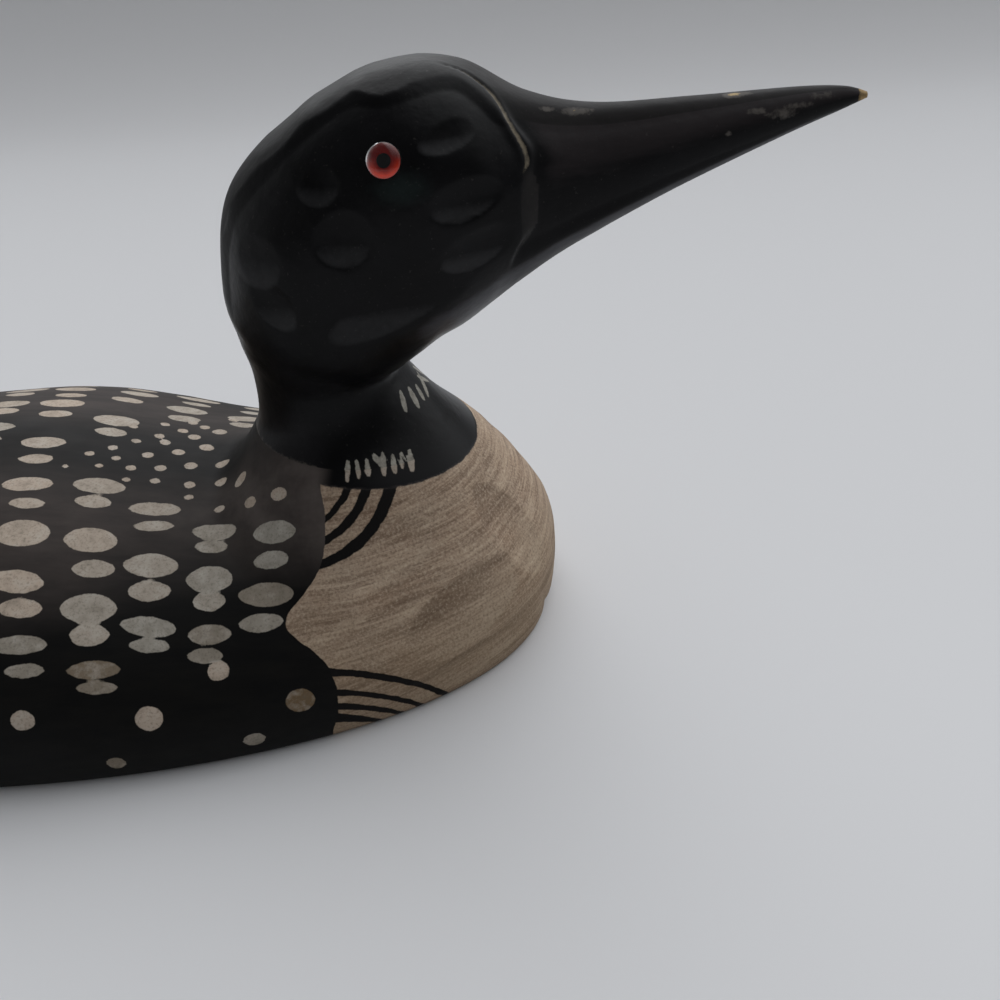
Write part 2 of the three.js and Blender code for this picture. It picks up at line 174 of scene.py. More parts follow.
def head_point(station, turn):
    """A place on the neck, head or bill: station counts the rings, turn goes round from the outer line."""
    rows = np.clip(station, 0, len(HEAD_RINGS) - 1)
    k = np.minimum(rows.astype(int), len(HEAD_RINGS) - 2)
    f = (rows - k)[..., None]
    a, b, c, d = (HEAD_RINGS[np.clip(k + i, 0, len(HEAD_RINGS) - 1)] for i in (-1, 0, 1, 2))
    row = 0.5 * (2 * b + (c - a) * f + (2 * a - 5 * b + 4 * c - d) * f**2 + (3 * b - a - 3 * c + d) * f**3)
    in_u, in_v, out_u, out_v, width, power = np.moveaxis(row, -1, 0)

    def swell(value):
        return np.sign(value) * abs(value) ** (2 / power)

    across = (1 + swell(np.cos(turn))) / 2
    x = NECK_BACK_X + (in_u + (out_u - in_u) * across) * HEAD_REACH
    z = FOOT_HEIGHT + (in_v + (out_v - in_v) * across) * HEAD_RISE
    return np.stack([x, -width * HEAD_WIDTH / 2 * swell(np.sin(turn)), z], -1)


HIGHEST_CUT = 2.0
HALVINGS = 30


def joint_height(x):
    """Height of the sloped glue joint."""
    return FOOT_HEIGHT + math.tan(JOINT_TILT) * (NECK_FRONT_X - x)


def joint_station(turn, lift):
    """Where the sloped saw cut crosses the neck, for each turn round it."""
    low, high = np.zeros_like(turn), np.full_like(turn, HIGHEST_CUT)
    for _ in range(HALVINGS):
        middle = (low + high) / 2
        place = head_point(middle, turn)
        under = place[..., 2] < joint_height(place[..., 0]) + lift
        low, high = np.where(under, middle, low), np.where(under, high, middle)
    return (low + high) / 2


def outward_normals(grid):
    along = np.gradient(grid, axis=0)
    around = np.roll(grid, -1, 1) - np.roll(grid, 1, 1)
    normal = np.cross(around, along)
    return normal / (np.linalg.norm(normal, axis=-1, keepdims=True) + 1e-12)


def scoop(along, across, length, width, tilt):
    """Depth, 0 to 1, of one bowl-shaped gouge cut."""
    turn = math.radians(tilt)
    u = along * math.cos(turn) + across * math.sin(turn)
    v = across * math.cos(turn) - along * math.sin(turn)
    return np.maximum(0, 1 - (2 * u / length) ** 2 - (2 * v / width) ** 2)


GOUGE_DEPTH = 0.0009
# How far in from a gouge's rim its painted light and shade build up, and how steeply they follow its slope
RIM_SHARE = 0.2
FACING_GAIN = 2.4
BREAST_CENTRE_SHARE = 0.655
# Bearing off the bill's direction in degrees, height, length, width, upward tilt, share of a full cut
BREAST_GOUGES = [
    (28, 0.428, 0.24, 0.11, 18, 1.2),
    (30, 0.165, 0.33, 0.065, 8, 1),
    (13, 0.603, 0.1, 0.185, 0, 1),
    (38, 0.748, 0.21, 0.1, 10, 0.75),
]

UNDER_JOINT = 0.0003
BODY_STATIONS = 380
TAIL_STATIONS = 0.79
END_CROWDING = 6
FLANK_STEPS = 114
CHAMFER_STEPS = 8
UNDERSIDE_STEPS = 4


def body_surface():
    """The carved block as a grid, station by ring, with each place's girth from the ridge of the back."""
    s = np.linspace(-TAIL_STATIONS, 1, BODY_STATIONS + 2)[1:-1]
    s = np.where(s < 0, s / TAIL_STATIONS, s)
    c = s * (END_CROWDING + 1) / END_CROWDING - abs(s) ** END_CROWDING * s / END_CROWDING
    x = (WIDEST_X + c * np.where(c < 0, WIDEST_X - TAIL_X, BREAST_X - WIDEST_X))[:, None]
    share = (x - TAIL_X) / BODY_LENGTH
    half = plan_width(BODY_WIDTH, x, BREAST_X, BREAST_PLAN, TAIL_X, TAIL_PLAN)
    base = plan_width(BASE_WIDTH, x, BASE_LENGTH / 2, BASE_BREAST_PLAN, -BASE_LENGTH / 2, BASE_TAIL_PLAN)
    front = np.clip((x - BASE_LENGTH / 2) / BREAST_OVERHANG, 0, 1)
    back = np.clip((-BASE_LENGTH / 2 - x) / TAIL_OVERHANG, 0, 1)
    bottom = BREAST_TIP_HEIGHT * (1 - np.sqrt(1 - front**2))
    bottom = bottom + (TAIL_TIP_HEIGHT - TAIL_TIP_THICKNESS / 2) * back**TAIL_LIFT_POWER
    side = BELLY_HEIGHT + (TAIL_TIP_HEIGHT - BELLY_HEIGHT) * smooth(*TAIL_CLIMB, share)
    side = side + (BREAST_TIP_HEIGHT - BELLY_HEIGHT) * smooth(*BREAST_CLIMB, share)
    top = follow(CREST, share) * BACK_HEIGHT
    power = 2 / follow(FULLNESS, share)
    a = np.linspace(0, math.pi / 2, FLANK_STEPS + 1)
    y = half * np.sin(a) ** power
    z = side + (top - side) * np.maximum(np.cos(a), 0) ** power
    z = np.minimum(with_neck_foot(x + 0 * y, y, z, side), joint_height(x) - UNDER_JOINT)
    a = np.linspace(0, math.pi / 2, CHAMFER_STEPS + 1)[1:]
    f = np.linspace(1, 0, UNDERSIDE_STEPS + 1)[1:]
    y = np.hstack([y, base + (half - base) * np.cos(a), base * f])
    z = np.hstack([z, side - (side - bottom) * np.sin(a), bottom + 0 * f])
    right = np.stack([x + 0 * y, -y, z], -1)
    left = right[:, -2:0:-1] * (1, -1, 1)
    grid = np.concatenate([right, left], 1)
    steps = np.linalg.norm(np.diff(right, axis=1), axis=2)
    girth = np.hstack([0 * x, np.cumsum(steps, 1)])
    return grid, np.concatenate([girth, -girth[:, -2:0:-1]], 1)


def breast_cuts(points):
    """Depth of the breast's gouge cuts, and how much each place faces up (1) or down (-1) inside one: the
    painted light and shade.
    """
    centre = TAIL_X + BREAST_CENTRE_SHARE * BODY_LENGTH
    x, y, z = np.moveaxis(points, -1, 0)
    bearing, radius = np.arctan2(abs(y), x - centre), np.hypot(x - centre, y)
    depth, gouge_light_and_shade = 0 * x, 0 * x
    for degrees, height, length, width, tilt, share in BREAST_GOUGES:
        along = (math.radians(degrees) - bearing) * radius
        across = z - height * BACK_HEIGHT
        cut = scoop(along, across, length * BODY_WIDTH, width * BODY_WIDTH, tilt)
        depth = np.maximum(depth, share * GOUGE_DEPTH * cut)
        lean = math.radians(tilt)
        rise = (across * math.cos(lean) - along * math.sin(lean)) / (width * BODY_WIDTH)
        slant = np.clip(FACING_GAIN * rise, -1, 1)
        gouge_light_and_shade = np.where(cut > 0, -share * smooth(0, RIM_SHARE, cut) * slant, gouge_light_and_shade)
    return depth, gouge_light_and_shade


def skin(grid, first_tip, last_tip, start=0):
    """Vertices, faces and corner UVs of a closed surface over a grid of rings, closed at both tips."""
    rows, around = grid.shape[:2]
    points = np.vstack([grid.reshape(-1, 3), first_tip, last_tip])
    i, j = np.indices((rows - 1, around)).reshape(2, -1)
    k = (j + 1) % around
    quads = np.stack([i * around + j, i * around + k, (i + 1) * around + k, (i + 1) * around + j], 1)
    quad_uv = np.stack([i + 1, j, i + 1, j + 1, i + 2, j + 1, i + 2, j], 1)
    j, k = j[:around], k[:around]
    none, end = 0 * j, (rows - 1) * around
    first = np.stack([none + rows * around, k, j], 1)
    last = np.stack([none + rows * around + 1, end + j, end + k], 1)
    first_uv = np.stack([none, j + 0.5, none + 1, j + 1, none + 1, j], 1)
    last_uv = np.stack([none + rows + 1, j + 0.5, none + rows, j, none + rows, j + 1], 1)
    faces = [face for part in (quads, first, last) for face in (part + start).tolist()]
    uv = np.concatenate([part.ravel() for part in (quad_uv, first_uv, last_uv)]).reshape(-1, 2)
    return points, faces, (uv / (rows + 1, around)).ravel()


scene = bpy.context.scene


def mesh_piece(name, shells, measures):
    """One mesh object made of closed shells, with named numbers on its vertices."""
    points = np.vstack([shell[0] for shell in shells])
    mesh = bpy.data.meshes.new(name)
    mesh.from_pydata(points.tolist(), [], [face for shell in shells for face in shell[1]])
    mesh.uv_layers.new(name="UVMap").data.foreach_set("uv", np.concatenate([shell[2] for shell in shells]))
    for key, values in measures.items():
        mesh.attributes.new(key, "FLOAT", "POINT").data.foreach_set("value", values.astype(np.float32))
    mesh.polygons.foreach_set("use_smooth", np.ones(len(mesh.polygons), bool))
    piece = bpy.data.objects.new(name, mesh)
    scene.collection.objects.link(piece)
    return piece


def wire(tree, node, links):
    """Gives a node's inputs their values and links, by name or number, or in a row from the first on."""
    for key, value in links.items() if isinstance(links, dict) else enumerate(links):
        if isinstance(value, bpy.types.NodeSocket):
            tree.links.new(value, node.inputs[key])
        else:
            node.inputs[key].default_value = value


def add(tree, kind, links=(), out=0, **settings):
    """Adds a node with its settings, values and links, and gives back one of its outputs."""
    node = tree.nodes.new(kind if "Node" in kind else "ShaderNode" + kind)
    for key, value in settings.items():
        setattr(node, key, value)
    wire(tree, node, links)
    return node.outputs[out] if node.outputs else None


def knife_marks():
    """Geometry Nodes: small flat facets left by the knife, where a surface is marked as carved."""
    tree = bpy.data.node_groups.new("knife_marks", "GeometryNodeTree")
    kinds = {"Geometry": "Geometry", **dict.fromkeys(("Facet Size", "Cut Depth", "Seed"), "Float")}
    for name, kind in {**kinds, "Paint": "Material"}.items():
        tree.interface.new_socket(name, in_out="INPUT", socket_type="NodeSocket" + kind)
    tree.interface.new_socket("Geometry", in_out="OUTPUT", socket_type="NodeSocketGeometry")
    given = add(tree, "NodeGroupInput").node.outputs
    place = add(tree, "GeometryNodeInputPosition")
    scale = add(tree, "Math", [1.0, given["Facet Size"]], operation="DIVIDE")
    spread = add(tree, "VectorMath", {0: place, "Scale": scale}, operation="SCALE")
    shift = add(tree, "VectorMath", [spread, given["Seed"]])
    cell = add(tree, "TexVoronoi", {"Vector": shift, "Scale": 1.0, "Smoothness": 0.15}, feature="SMOOTH_F1")
    hollow = add(tree, "Math", [1.0, cell], operation="SUBTRACT", use_clamp=True)
    carved = add(tree, "GeometryNodeInputNamedAttribute", {"Name": "carved"}, data_type="FLOAT")
    for factor in (carved, given["Cut Depth"], -1.0):
        hollow = add(tree, "Math", [hollow, factor], operation="MULTIPLY")
    normal = add(tree, "GeometryNodeInputNormal")
    offset = add(tree, "VectorMath", {0: normal, "Scale": hollow}, operation="SCALE")
    cut = add(tree, "GeometryNodeSetPosition", {"Geometry": given["Geometry"], "Offset": offset})
    real = add(tree, "GeometryNodeRealizeInstances", {"Geometry": cut})
    painted = add(tree, "GeometryNodeSetMaterial", {"Geometry": real, "Material": given["Paint"]})
    add(tree, "NodeGroupOutput", {"Geometry": painted})
    return tree


# Edges sharper than this stay crisp: on the head, and on the body, whose stump has a blunter edge in front
EDGE_ANGLE = math.radians(50)
STUMP_ANGLE = math.radians(35)


def keep_result(piece, edge_angle):
    """Keeps what a piece's modifier made as its plain mesh."""
    seen = piece.evaluated_get(bpy.context.evaluated_depsgraph_get())
    mesh = bpy.data.meshes.new_from_object(seen)
    piece.modifiers.clear()
    piece.data = mesh
    mesh.set_sharp_from_angle(angle=edge_angle)


def cut_marks(piece, tree, paint, values, edge_angle):
    """Runs the knife marks over a piece, by the identifiers of the tree's inputs."""
    modifier = piece.modifiers.new("knife_marks", "NODES")
    modifier.node_group = tree
    sockets = {item.name: item.identifier for item in tree.interface.items_tree if item.in_out == "INPUT"}
    for name, value in {**values, "Paint": paint}.items():
        modifier[sockets[name]] = value
    keep_result(piece, edge_angle)


def linear(colour):
    """A #rrggbb colour as linear RGBA."""
    parts = [int(colour[i : i + 2], 16) / 255 for i in (1, 3, 5)]
    return (*(c / 12.92 if c <= 0.04045 else ((c + 0.055) / 1.055) ** 2.4 for c in parts), 1.0)


def new_material(name):
    """A node material, its tree and its shader."""
    made = bpy.data.materials.new(name)
    made.use_nodes = True
    return made, made.node_tree, made.node_tree.nodes["Principled BSDF"]


def brushwork(tree, place, size, detail, roughness=0.5, distortion=0.0):
    """Unevenness of a real size in metres: one number, or its length along, across and up."""
    per_metre = [1 / part for part in np.broadcast_to(size, 3)]
    scaled = add(tree, "Mapping", {"Vector": place, "Scale": per_metre})
    values = {"Scale": 1.0, "Detail": detail, "Roughness": roughness, "Distortion": distortion}
    return add(tree, "TexNoise", {"Vector": scaled, **values})


def lay_coat(tree, under, over, pattern, start=0.0, end=1.0, most=1.0):
    """Lays a thin coat over a paint: none where the pattern is at its start and most at its end."""
    share = add(tree, "MapRange", [pattern, start, end, 0, most])
    under, over = (linear(paint) if isinstance(paint, str) else paint for paint in (under, over))
    return add(tree, "Mix", {0: share, 6: under, 7: over}, 2, data_type="RGBA")


def black_enamel(tree, place):
    """Satin black enamel in soft clouds about 12 mm wide: the clouds, its colour and its roughness."""
    cloud = brushwork(tree, place, 0.012, 3, 0.55)
    colour = lay_coat(tree, "#030304", "#0c0c0e", cloud, 0.35, 0.75)
    return cloud, colour, add(tree, "MapRange", [cloud, 0, 1, 0.26, 0.42])


# Painted spots, in columns across the block (mm). Each column has its reach at the ridge of the back, how
# fast it leans toward the bill, and its pairs of strokes: girth from the ridge of the large one and its
# height, then the girth of the small one under it, if it has one. Girths on the right side are positive.
SPOT_COLUMNS = [
    (-12.4, 0.19, [
        (-39, 5.5, -31), (-23.3, 5.8, -15.5), (0.4, 5, 6.9), (16.8, 4.7, 23.1), (32.6, 7.4, None),
        (45, 5.8, 51.6), (59.6, 4.4, 64.9),
    ]),
    (4.4, 0.165, [
        (-38.5, 5.5, -30), (-14.3, 5.8, -7), (15.2, 5.3, 20.8), (32.2, 6.5, 39.2), (49.5, 6.8, 55),
        (62.6, 3.8, 66.5),
    ]),
    (19.2, 0.12, [
        (-44, 5.5, -36), (-28.5, 5.8, -20.8), (20.4, 4.2, 25.4), (36.3, 6.5, 43.1), (51.9, 4.4, 56.2),
    ]),
    (34.3, 0.078, [(-42.6, 5.5, -35), (-27, 5, -21), (26.6, 4.6, 31), (39.7, 6.5, 45), (53.6, 4.4, 57.9)]),
    (56.7, 0.113, [(-51, 5.6, -45.5), (-37, 5.5, -31.5)]),
    (56.7, -0.113, [(36.2, 5.5, 42.3), (50.2, 5.7, 56.6)]),
]
LARGE_LENGTHS = (12.4, 12.2, 12.6, 10.6, 13.2, 13.2)
SMALL_SHARE = 0.74
# Greyness of a spot: at the first column, more per mm toward the breast, more per mm down from a girth;
# high values turn it darker brown, partly as painted shade low on the flank
TONE, TONE_AHEAD, TONE_DOWN, TONE_GIRTH = 0.15, 0.011, 0.07, 45
# How unevenly strokes are set by hand: place (mm), tilt (radians), greyness, ends, length, height
UNEVEN_PLACE, UNEVEN_TILT, UNEVEN_TONE = 0.4, 0.05, 0.12
BACK_END, FRONT_END = (1.25, 2.0), (1.35, 2.1)
UNEVEN_LENGTH, UNEVEN_HEIGHT = (0.93, 1.07), (0.95, 1.06)
# The pattern carried on over the rest of the back and down the left flank (mm)
TAIL_COLUMNS = 7
COLUMN_PITCH = 15.8
LEAN_FADE = 0.12
PLAIN_STROKE = (5.4, 12.4)
PLAIN_DROP, LEFT_DROP = 6.6, 7.6
PLAIN_TONE = 0.3
LOWEST_GIRTH, LEFT_LOWEST = 65, 62
LOWEST_SPOT = 0.027
# Round dots low on the flank: reach, girth, length, height, tone; the darkest are partly painted shade
LOW_DOTS = [
    (-0.8, 76.6, 5.3, 4.6, 0.3), (26.2, 72.3, 6.1, 5.7, 0.1), (41.9, 62.7, 4.7, 4.5, 0.1),
    (58.8, 76.6, 6.5, 5.6, 1.9), (16.7, 84.8, 4.4, 3.6, 1.5), (47.6, 84.3, 5.2, 4, 1.2),
]
DOT_PITCH = 27.3
DOT_RISE = 3
DOT_DROP = 7
TAIL_DOTS = 4
NEARLY_ROUND, ROUND = (1.9, 2), (2, 2)
# How much longer a small dot is painted where the neck's foot is steep, and how far it is set off (mm)
STEEP_STRETCH = 0.8
DOT_JITTER = 0.15
# Rows of small dots that fan out toward the neck: reach and sideways place of the first and of the last,
# how many, size of the first and of the last
DOT_ROWS = [
    (7.3, -11.3, 20.4, -19, 3, 2.1, 2.8), (0.7, 3.9, 23.9, -16.6, 6, 2.3, 2.8),
    (17.2, -5.3, 28.6, -14.1, 3, 2.9, 3.8), (8.3, 4.2, 28, -4.6, 4, 2.2, 3.6),
    (-3, 9.6, 34, 2.6, 6, 1.6, 3.6), (12.1, 11.7, 35.2, 10.4, 4, 1.8, 3.2),
    (28.5, 15.6, 54.6, 25.4, 4, 2, 3.6), (42.8, 14.7, 42.8, 14.7, 1, 3.8, 3.8),
    (29.6, -24.9, 52, -27, 3, 3, 3.6),
]
# A depth that is well outside every stroke, how far a stroke reaches from its middle, along how many
# stations, and the girth where the underside starts (m)
OUTSIDE = -0.01
STROKE_REACH = 0.012
STROKE_ROWS = 24
UNDERSIDE_GIRTH = 0.09

grid, girth = body_surface()
normals = outward_normals(grid)
chance = np.random.default_rng(7)
spots = np.full(girth.shape, OUTSIDE)
tones = np.zeros(girth.shape)


def paint_spot(reach, sought, chart, length, height, tilt, ends, tone, stretch=0.0):
    """Paints a stroke (mm) where a chart of the block (m) nears a value; ends from 1, pointed, to 2, oval."""
    row = np.argmin(abs(grid[:, 0, 0] - reach / 1000))
    column = np.argmin(abs(chart[row] - sought / 1000) + (abs(girth[row]) > UNDERSIDE_GIRTH))
    normal = normals[row, column]
    ahead = np.array([1, 0, 0]) - normal[0] * normal
    ahead = ahead / np.linalg.norm(ahead)
    below = np.cross(ahead, normal) * (1 if girth[row, column] >= 0 else -1)
    rows = slice(max(row - STROKE_ROWS, 0), row + STROKE_ROWS + 1)
    offset = grid[rows] - grid[row, column]
    along, down = offset @ ahead, offset @ below
    half, rise = length / 2000 * (1 + stretch * (1 - normal[2])), height / 2000
    u = (along * math.cos(tilt) + down * math.sin(tilt)) / half
    v = (down * math.cos(tilt) - along * math.sin(tilt)) / rise
    power = np.where(u < 0, *ends)
    slope = np.hypot(2 * u / half, power * np.maximum(abs(v), 0.1) ** (power - 1) / rise)
    inside = (1 - u**2 - abs(v) ** power) / np.maximum(slope, 1 / rise)
    inside = np.where(np.linalg.norm(offset, axis=-1) < STROKE_REACH, inside, OUTSIDE)
    tones[rows] = np.where(inside > spots[rows], tone, tones[rows])
    spots[rows] = np.maximum(inside, spots[rows])


def paint_pair(reach, lean, upper, height, lower, length, tone):
    """A large stroke and, if it has one, the small one under it."""
    strokes = [(upper, length, height)]
    if lower is not None:
        strokes.append((lower, length * SMALL_SHARE, height * SMALL_SHARE))
    for place, long, high in strokes:
        x = reach + lean * place + chance.normal(0, UNEVEN_PLACE)
        ends = (chance.uniform(*BACK_END), chance.uniform(*FRONT_END))
        tilt = chance.normal(0, UNEVEN_TILT)
        long, high = long * chance.uniform(*UNEVEN_LENGTH), high * chance.uniform(*UNEVEN_HEIGHT)
        paint_spot(x, place, girth, long, high, tilt, ends, tone + chance.normal(0, UNEVEN_TONE))


first_reach, first_lean = SPOT_COLUMNS[0][:2]
for (reach, lean, pairs), length in zip(SPOT_COLUMNS, LARGE_LENGTHS):
    for upper, height, lower in pairs:
        tone = TONE + TONE_AHEAD * (reach + 12) + TONE_DOWN * max(upper - TONE_GIRTH, 0)
        paint_pair(reach, lean, upper, height, lower, length, tone)
height, length = PLAIN_STROKE
for column in range(1, TAIL_COLUMNS + 1):
    reach = first_reach - COLUMN_PITCH * column
    row = np.argmin(abs(grid[:, 0, 0] - reach / 1000))
    on_flank = (grid[row, :, 2] > LOWEST_SPOT) & (grid[row, :, 1] < 0)
    lowest = min(LOWEST_GIRTH, 1000 * girth[row][on_flank].max() - 3)
    lean = first_lean * (1 - LEAN_FADE * column)
    for step in range(-5, 6):
        place = (step + 0.5 * (column % 2)) * COLUMN_PITCH
        if -lowest < place < lowest - 6:
            paint_pair(reach, lean, place, height, place + PLAIN_DROP, length, PLAIN_TONE)
for (reach, lean, pairs), length in zip(SPOT_COLUMNS, LARGE_LENGTHS):
    place = pairs[0][0] - COLUMN_PITCH
    if -LEFT_LOWEST < place < 0:
        paint_pair(reach, lean, place, height, place + LEFT_DROP, length, PLAIN_TONE)
for side in (1, -1):
    for reach, place, length, height, tone in LOW_DOTS:
        paint_spot(reach, side * place, girth, length, height, 0, NEARLY_ROUND, tone)
    for step in range(TAIL_DOTS):
        reach, place = DOT_PITCH * (step + 1), LOW_DOTS[0][1] - DOT_RISE * step
        paint_spot(LOW_DOTS[0][0] - reach, side * place, girth, 5, 4.6, 0, ROUND, 0.8)
        paint_spot(LOW_DOTS[4][0] - reach, side * (place + DOT_DROP), girth, 4, 3.6, 0, ROUND, 1.5)
for first, first_side, last, last_side, count, least, most in DOT_ROWS:
    for share in np.linspace(0, 1, count):
        reach = first + (last - first) * share + chance.normal(0, DOT_JITTER)
        sideways = first_side + (last_side - first_side) * share + chance.normal(0, DOT_JITTER)
        size = least + (most - least) * share
        kind = (-0.3 * (1 - share), (1.8, 1.9), chance.uniform(0, 0.3), STEEP_STRETCH)
        paint_spot(reach, sideways, -grid[..., 1], size * 1.05, size * 0.84, *kind)


# Front edge of the black mantle on the flank: height, reach
MANTLE_EDGE = [
    (0, 0.0635), (0.0036, 0.0646), (0.0105, 0.0669), (0.0151, 0.0672), (0.0198, 0.066), (0.0237, 0.0629),
    (0.0293, 0.0563), (0.034, 0.0608), (0.0389, 0.0645), (0.0441, 0.0659), (0.0482, 0.0661), (0.053, 0.0653),
]
# Necklace strokes, black paint left bare round them: bearing off the bill's direction (degrees) and
# height (mm) of the upper end, then of the lower end, and the width of the stroke (mm)
SIDE_STROKES = [
    (91, 57.3, 91, 54, 1.3), (86, 57.1, 85, 54.2, 1.1), (80, 56.9, 80, 54.2, 1.3), (76, 57.6, 73, 55.9, 1.4),
    (69.5, 57.4, 72, 53.6, 1.5), (64, 56.5, 66, 53.5, 1.4), (58.5, 56.3, 61, 53.9, 1.3),
    (53, 55.9, 56.5, 52.8, 1.8),
]
THROAT_STROKES = [
    (35, 66.5, 39, 62.8, 1.6), (21, 65.7, 25, 61.9, 1.8), (8, 64.6, 13, 61.9, 1.5), (7, 61.6, -8, 64.6, 1.5),
    (-10, 64.6, -16, 61.6, 1.6), (-24, 65.6, -28, 62, 1.6),
]
# The flared neck: slant length over height, its radius over its width; how far round a stroke can matter
# (radians), and how much a stroke thins toward its ends
FLARE = 1.4
NECK_ROUND = 0.45
STROKE_TURN = 0.6
STROKE_TAPER = 0.45


def necklace(points):
    """How deep each place lies inside the nearest necklace stroke, in metres; negative outside."""
    x, y, z = np.moveaxis(points, -1, 0)
    bearing, radius = np.arctan2(-y, x - NECK_X), np.hypot(x - NECK_X, y)
    deepest = np.full(x.shape, OUTSIDE)
    mirrored = [(-a, top, -b, low, width) for a, top, b, low, width in SIDE_STROKES]
    for first, top, second, low, width in SIDE_STROKES + mirrored + THROAT_STROKES:
        run = np.array([math.radians(second - first) * NECK_WIDTH * NECK_ROUND, (low - top) / 1000 * FLARE])
        across = (bearing - math.radians(first)) * radius
        down = (z - top / 1000) * FLARE
        share = np.clip((across * run[0] + down * run[1]) / (run @ run), 0, 1)
        half = width / 2000 * (1 - STROKE_TAPER * (1 - np.sin(math.pi * share)))
        off = np.hypot(across - share * run[0], down - share * run[1])
        near = abs(bearing - math.radians(first + second) / 2) < STROKE_TURN
        deepest = np.where(near, np.maximum(deepest, half - off), deepest)
    return deepest


# The top of the stump: a band that follows the neck's own rings up to the joint, sunk into the block
BAND_ROUND = 240
BAND_ROWS = 14
BAND_SINK = 0.0005
# Bearings off the bill's direction where the black collar fades out toward the back
COLLAR_BACK = (108, 98)

cuts, gouge_light_and_shade = breast_cuts(grid)
carved_body = grid - normals * cuts[..., None]
turns = np.linspace(0, 2 * math.pi, BAND_ROUND, endpoint=False)
band_share = np.linspace(0, 1, BAND_ROWS)[:, None]
foot_band = head_point(band_share * joint_station(turns, 0.0), turns + 0 * band_share)
foot_band = np.concatenate([foot_band[:1] - (0, 0, BAND_SINK), foot_band])
main_shell = skin(carved_body, (TAIL_X, 0, TAIL_TIP_HEIGHT), (BREAST_X, 0, BREAST_TIP_HEIGHT))
band_ends = (NECK_X, 0, FOOT_HEIGHT - BAND_SINK), (NECK_X, 0, joint_height(NECK_X))
band_shell = skin(foot_band, *band_ends, len(main_shell[0]))


def both_shells(main, band, at_ends=0.0):
    """One number for each vertex of the block and of the foot's band, end points included."""
    ends = np.full(2, at_ends)
    return np.concatenate([main.ravel(), ends, (band + np.zeros(foot_band.shape[:2])).ravel(), ends])


def bearing_from_bill(points):
    return np.degrees(np.arctan2(abs(points[..., 1]), points[..., 0] - NECK_X))


collar = foot_ring(grid[..., 0], grid[..., 1])[2]
in_black = smooth(*COLLAR_BACK, bearing_from_bill(grid)) * smooth(0.0006, 0.0002, collar)
measures = {
    "strokes": both_shells(spots, necklace(foot_band), OUTSIDE),
    "tone": both_shells(tones, 0.3),
    "mantle_edge": both_shells(grid[..., 0] - follow(MANTLE_EDGE, grid[..., 2]), OUTSIDE),
    "collar": both_shells(collar, -0.002),
    "black_collar": both_shells(in_black, smooth(*COLLAR_BACK, bearing_from_bill(foot_band))),
    "gouge_light_and_shade": both_shells(gouge_light_and_shade, 0),
    "carved": both_shells(smooth(0.003, 0.010, grid[..., 2]) * smooth(0.0, 0.008, collar), 0),
}

# Body paint: brushed oil paint, dull and streaky on the tan and satin on the black, so the tan shows its
# brush strokes and the black only a soft sheen. Painted edges waver by a fraction of a millimetre.
WAVER = 0.00028
SOFT_EDGE = 0.0001
COLLAR_BORDER = 0.0004
PAINT_SHEEN = 0.12
# Hoops: black brush lines that are arcs round one middle for the upper three and another for the lower
# four; each has its radius, half its width and how fast it thins toward the bill
UPPER_MIDDLE = (0.0596, -0.0189, 0.0508)
LOWER_MIDDLE = (0.0582, -0.0862, -0.0361)
UPPER_HOOPS = ((0.0147, 0.0006, -0.02), (0.0182, 0.0008, -0.015), (0.0225, 0.00105, -0.01))
LOWER_HOOPS = (
    (0.0654, 0.0009, 0.008), (0.0606, 0.0008, 0.01), (0.0571, 0.0009, 0.022), (0.054, 0.0013, 0.085),
)
HOOP_BORDER = 0.066
# Each pattern: its size in metres (or along, across and up), detail, roughness
BODY_BRUSHWORK = (
    ("waver", 0.003, 5, 0.6), ("patch", 0.013, 4, 0.6), ("speck", 0.0006, 2, 0.6),
    ("blotch", 0.0035, 4, 0.6), ("brush", (0.02, 0.003, 0.003), 4, 0.6),
)
# Streaks about 30 mm long and 2 mm thick that rise a little toward the bill, steeper ones that cross them,
# and 16 mm hairs: rise in radians, length, thickness, detail, roughness
STREAKS = (
    ("streak", 0.02, 0.03, 0.0024, 5, 0.6), ("cross", 0.22, 0.018, 0.002, 5, 0.6),
    ("hair", 0.06, 0.016, 0.0005, 3, 0.55),
)
STREAK_DISTORTION = 0.25
# Each coat: the pattern it follows, where it starts and ends, how much of it shows, its colour. The tan is
# a pale coat dragged dry over a brown one, with painted shade where a gouge's side faces down and painted
# light where it faces up; the cream of the spots is greyer toward the breast, browner low down (and darker
# there, partly as painted shade) and thin enough to show dark specks.
TAN_COATS = (
    ("patch", 0.34, 0.64, 0.75, "#a4927f"),
    ("streak", 0.52, 0.34, 0.75, "#6d5848"),
    ("cross", 0.5, 0.68, 0.6, "#b9a58e"),
    ("cross", 0.46, 0.3, 0.45, "#705b4b"),
    ("hair", 0.5, 0.72, 0.45, "#c6b29b"),
    ("hair", 0.5, 0.28, 0.42, "#5f4d3f"),
    # Painted shade where a gouge faces down, painted light where it faces up
    ("gouge_light_and_shade", 0, -1, 0.5, "#5c4a3c"),
    ("gouge_light_and_shade", 0, 1, 0.4, "#c2b09a"),
    ("speck", 0.52, 0.7, 0.35, "#d0c0aa"),
    ("speck", 0.48, 0.3, 0.42, "#4f3f33"),
    ("height", 0.034, 0.012, 0.45, "#72614a"),
)
CREAM_COATS = (
    ("tone", 0, 0.9, 1, "#99948a"),
    ("tone", 0.9, 1.9, 1, "#6a5842"),
    ("blotch", 0.5, 0.72, 0.45, "#c0bab0"),
    ("blotch", 0.48, 0.26, 0.5, "#6d665a"),
    ("speck", 0.5, 0.28, 0.45, "#5a5347"),
)

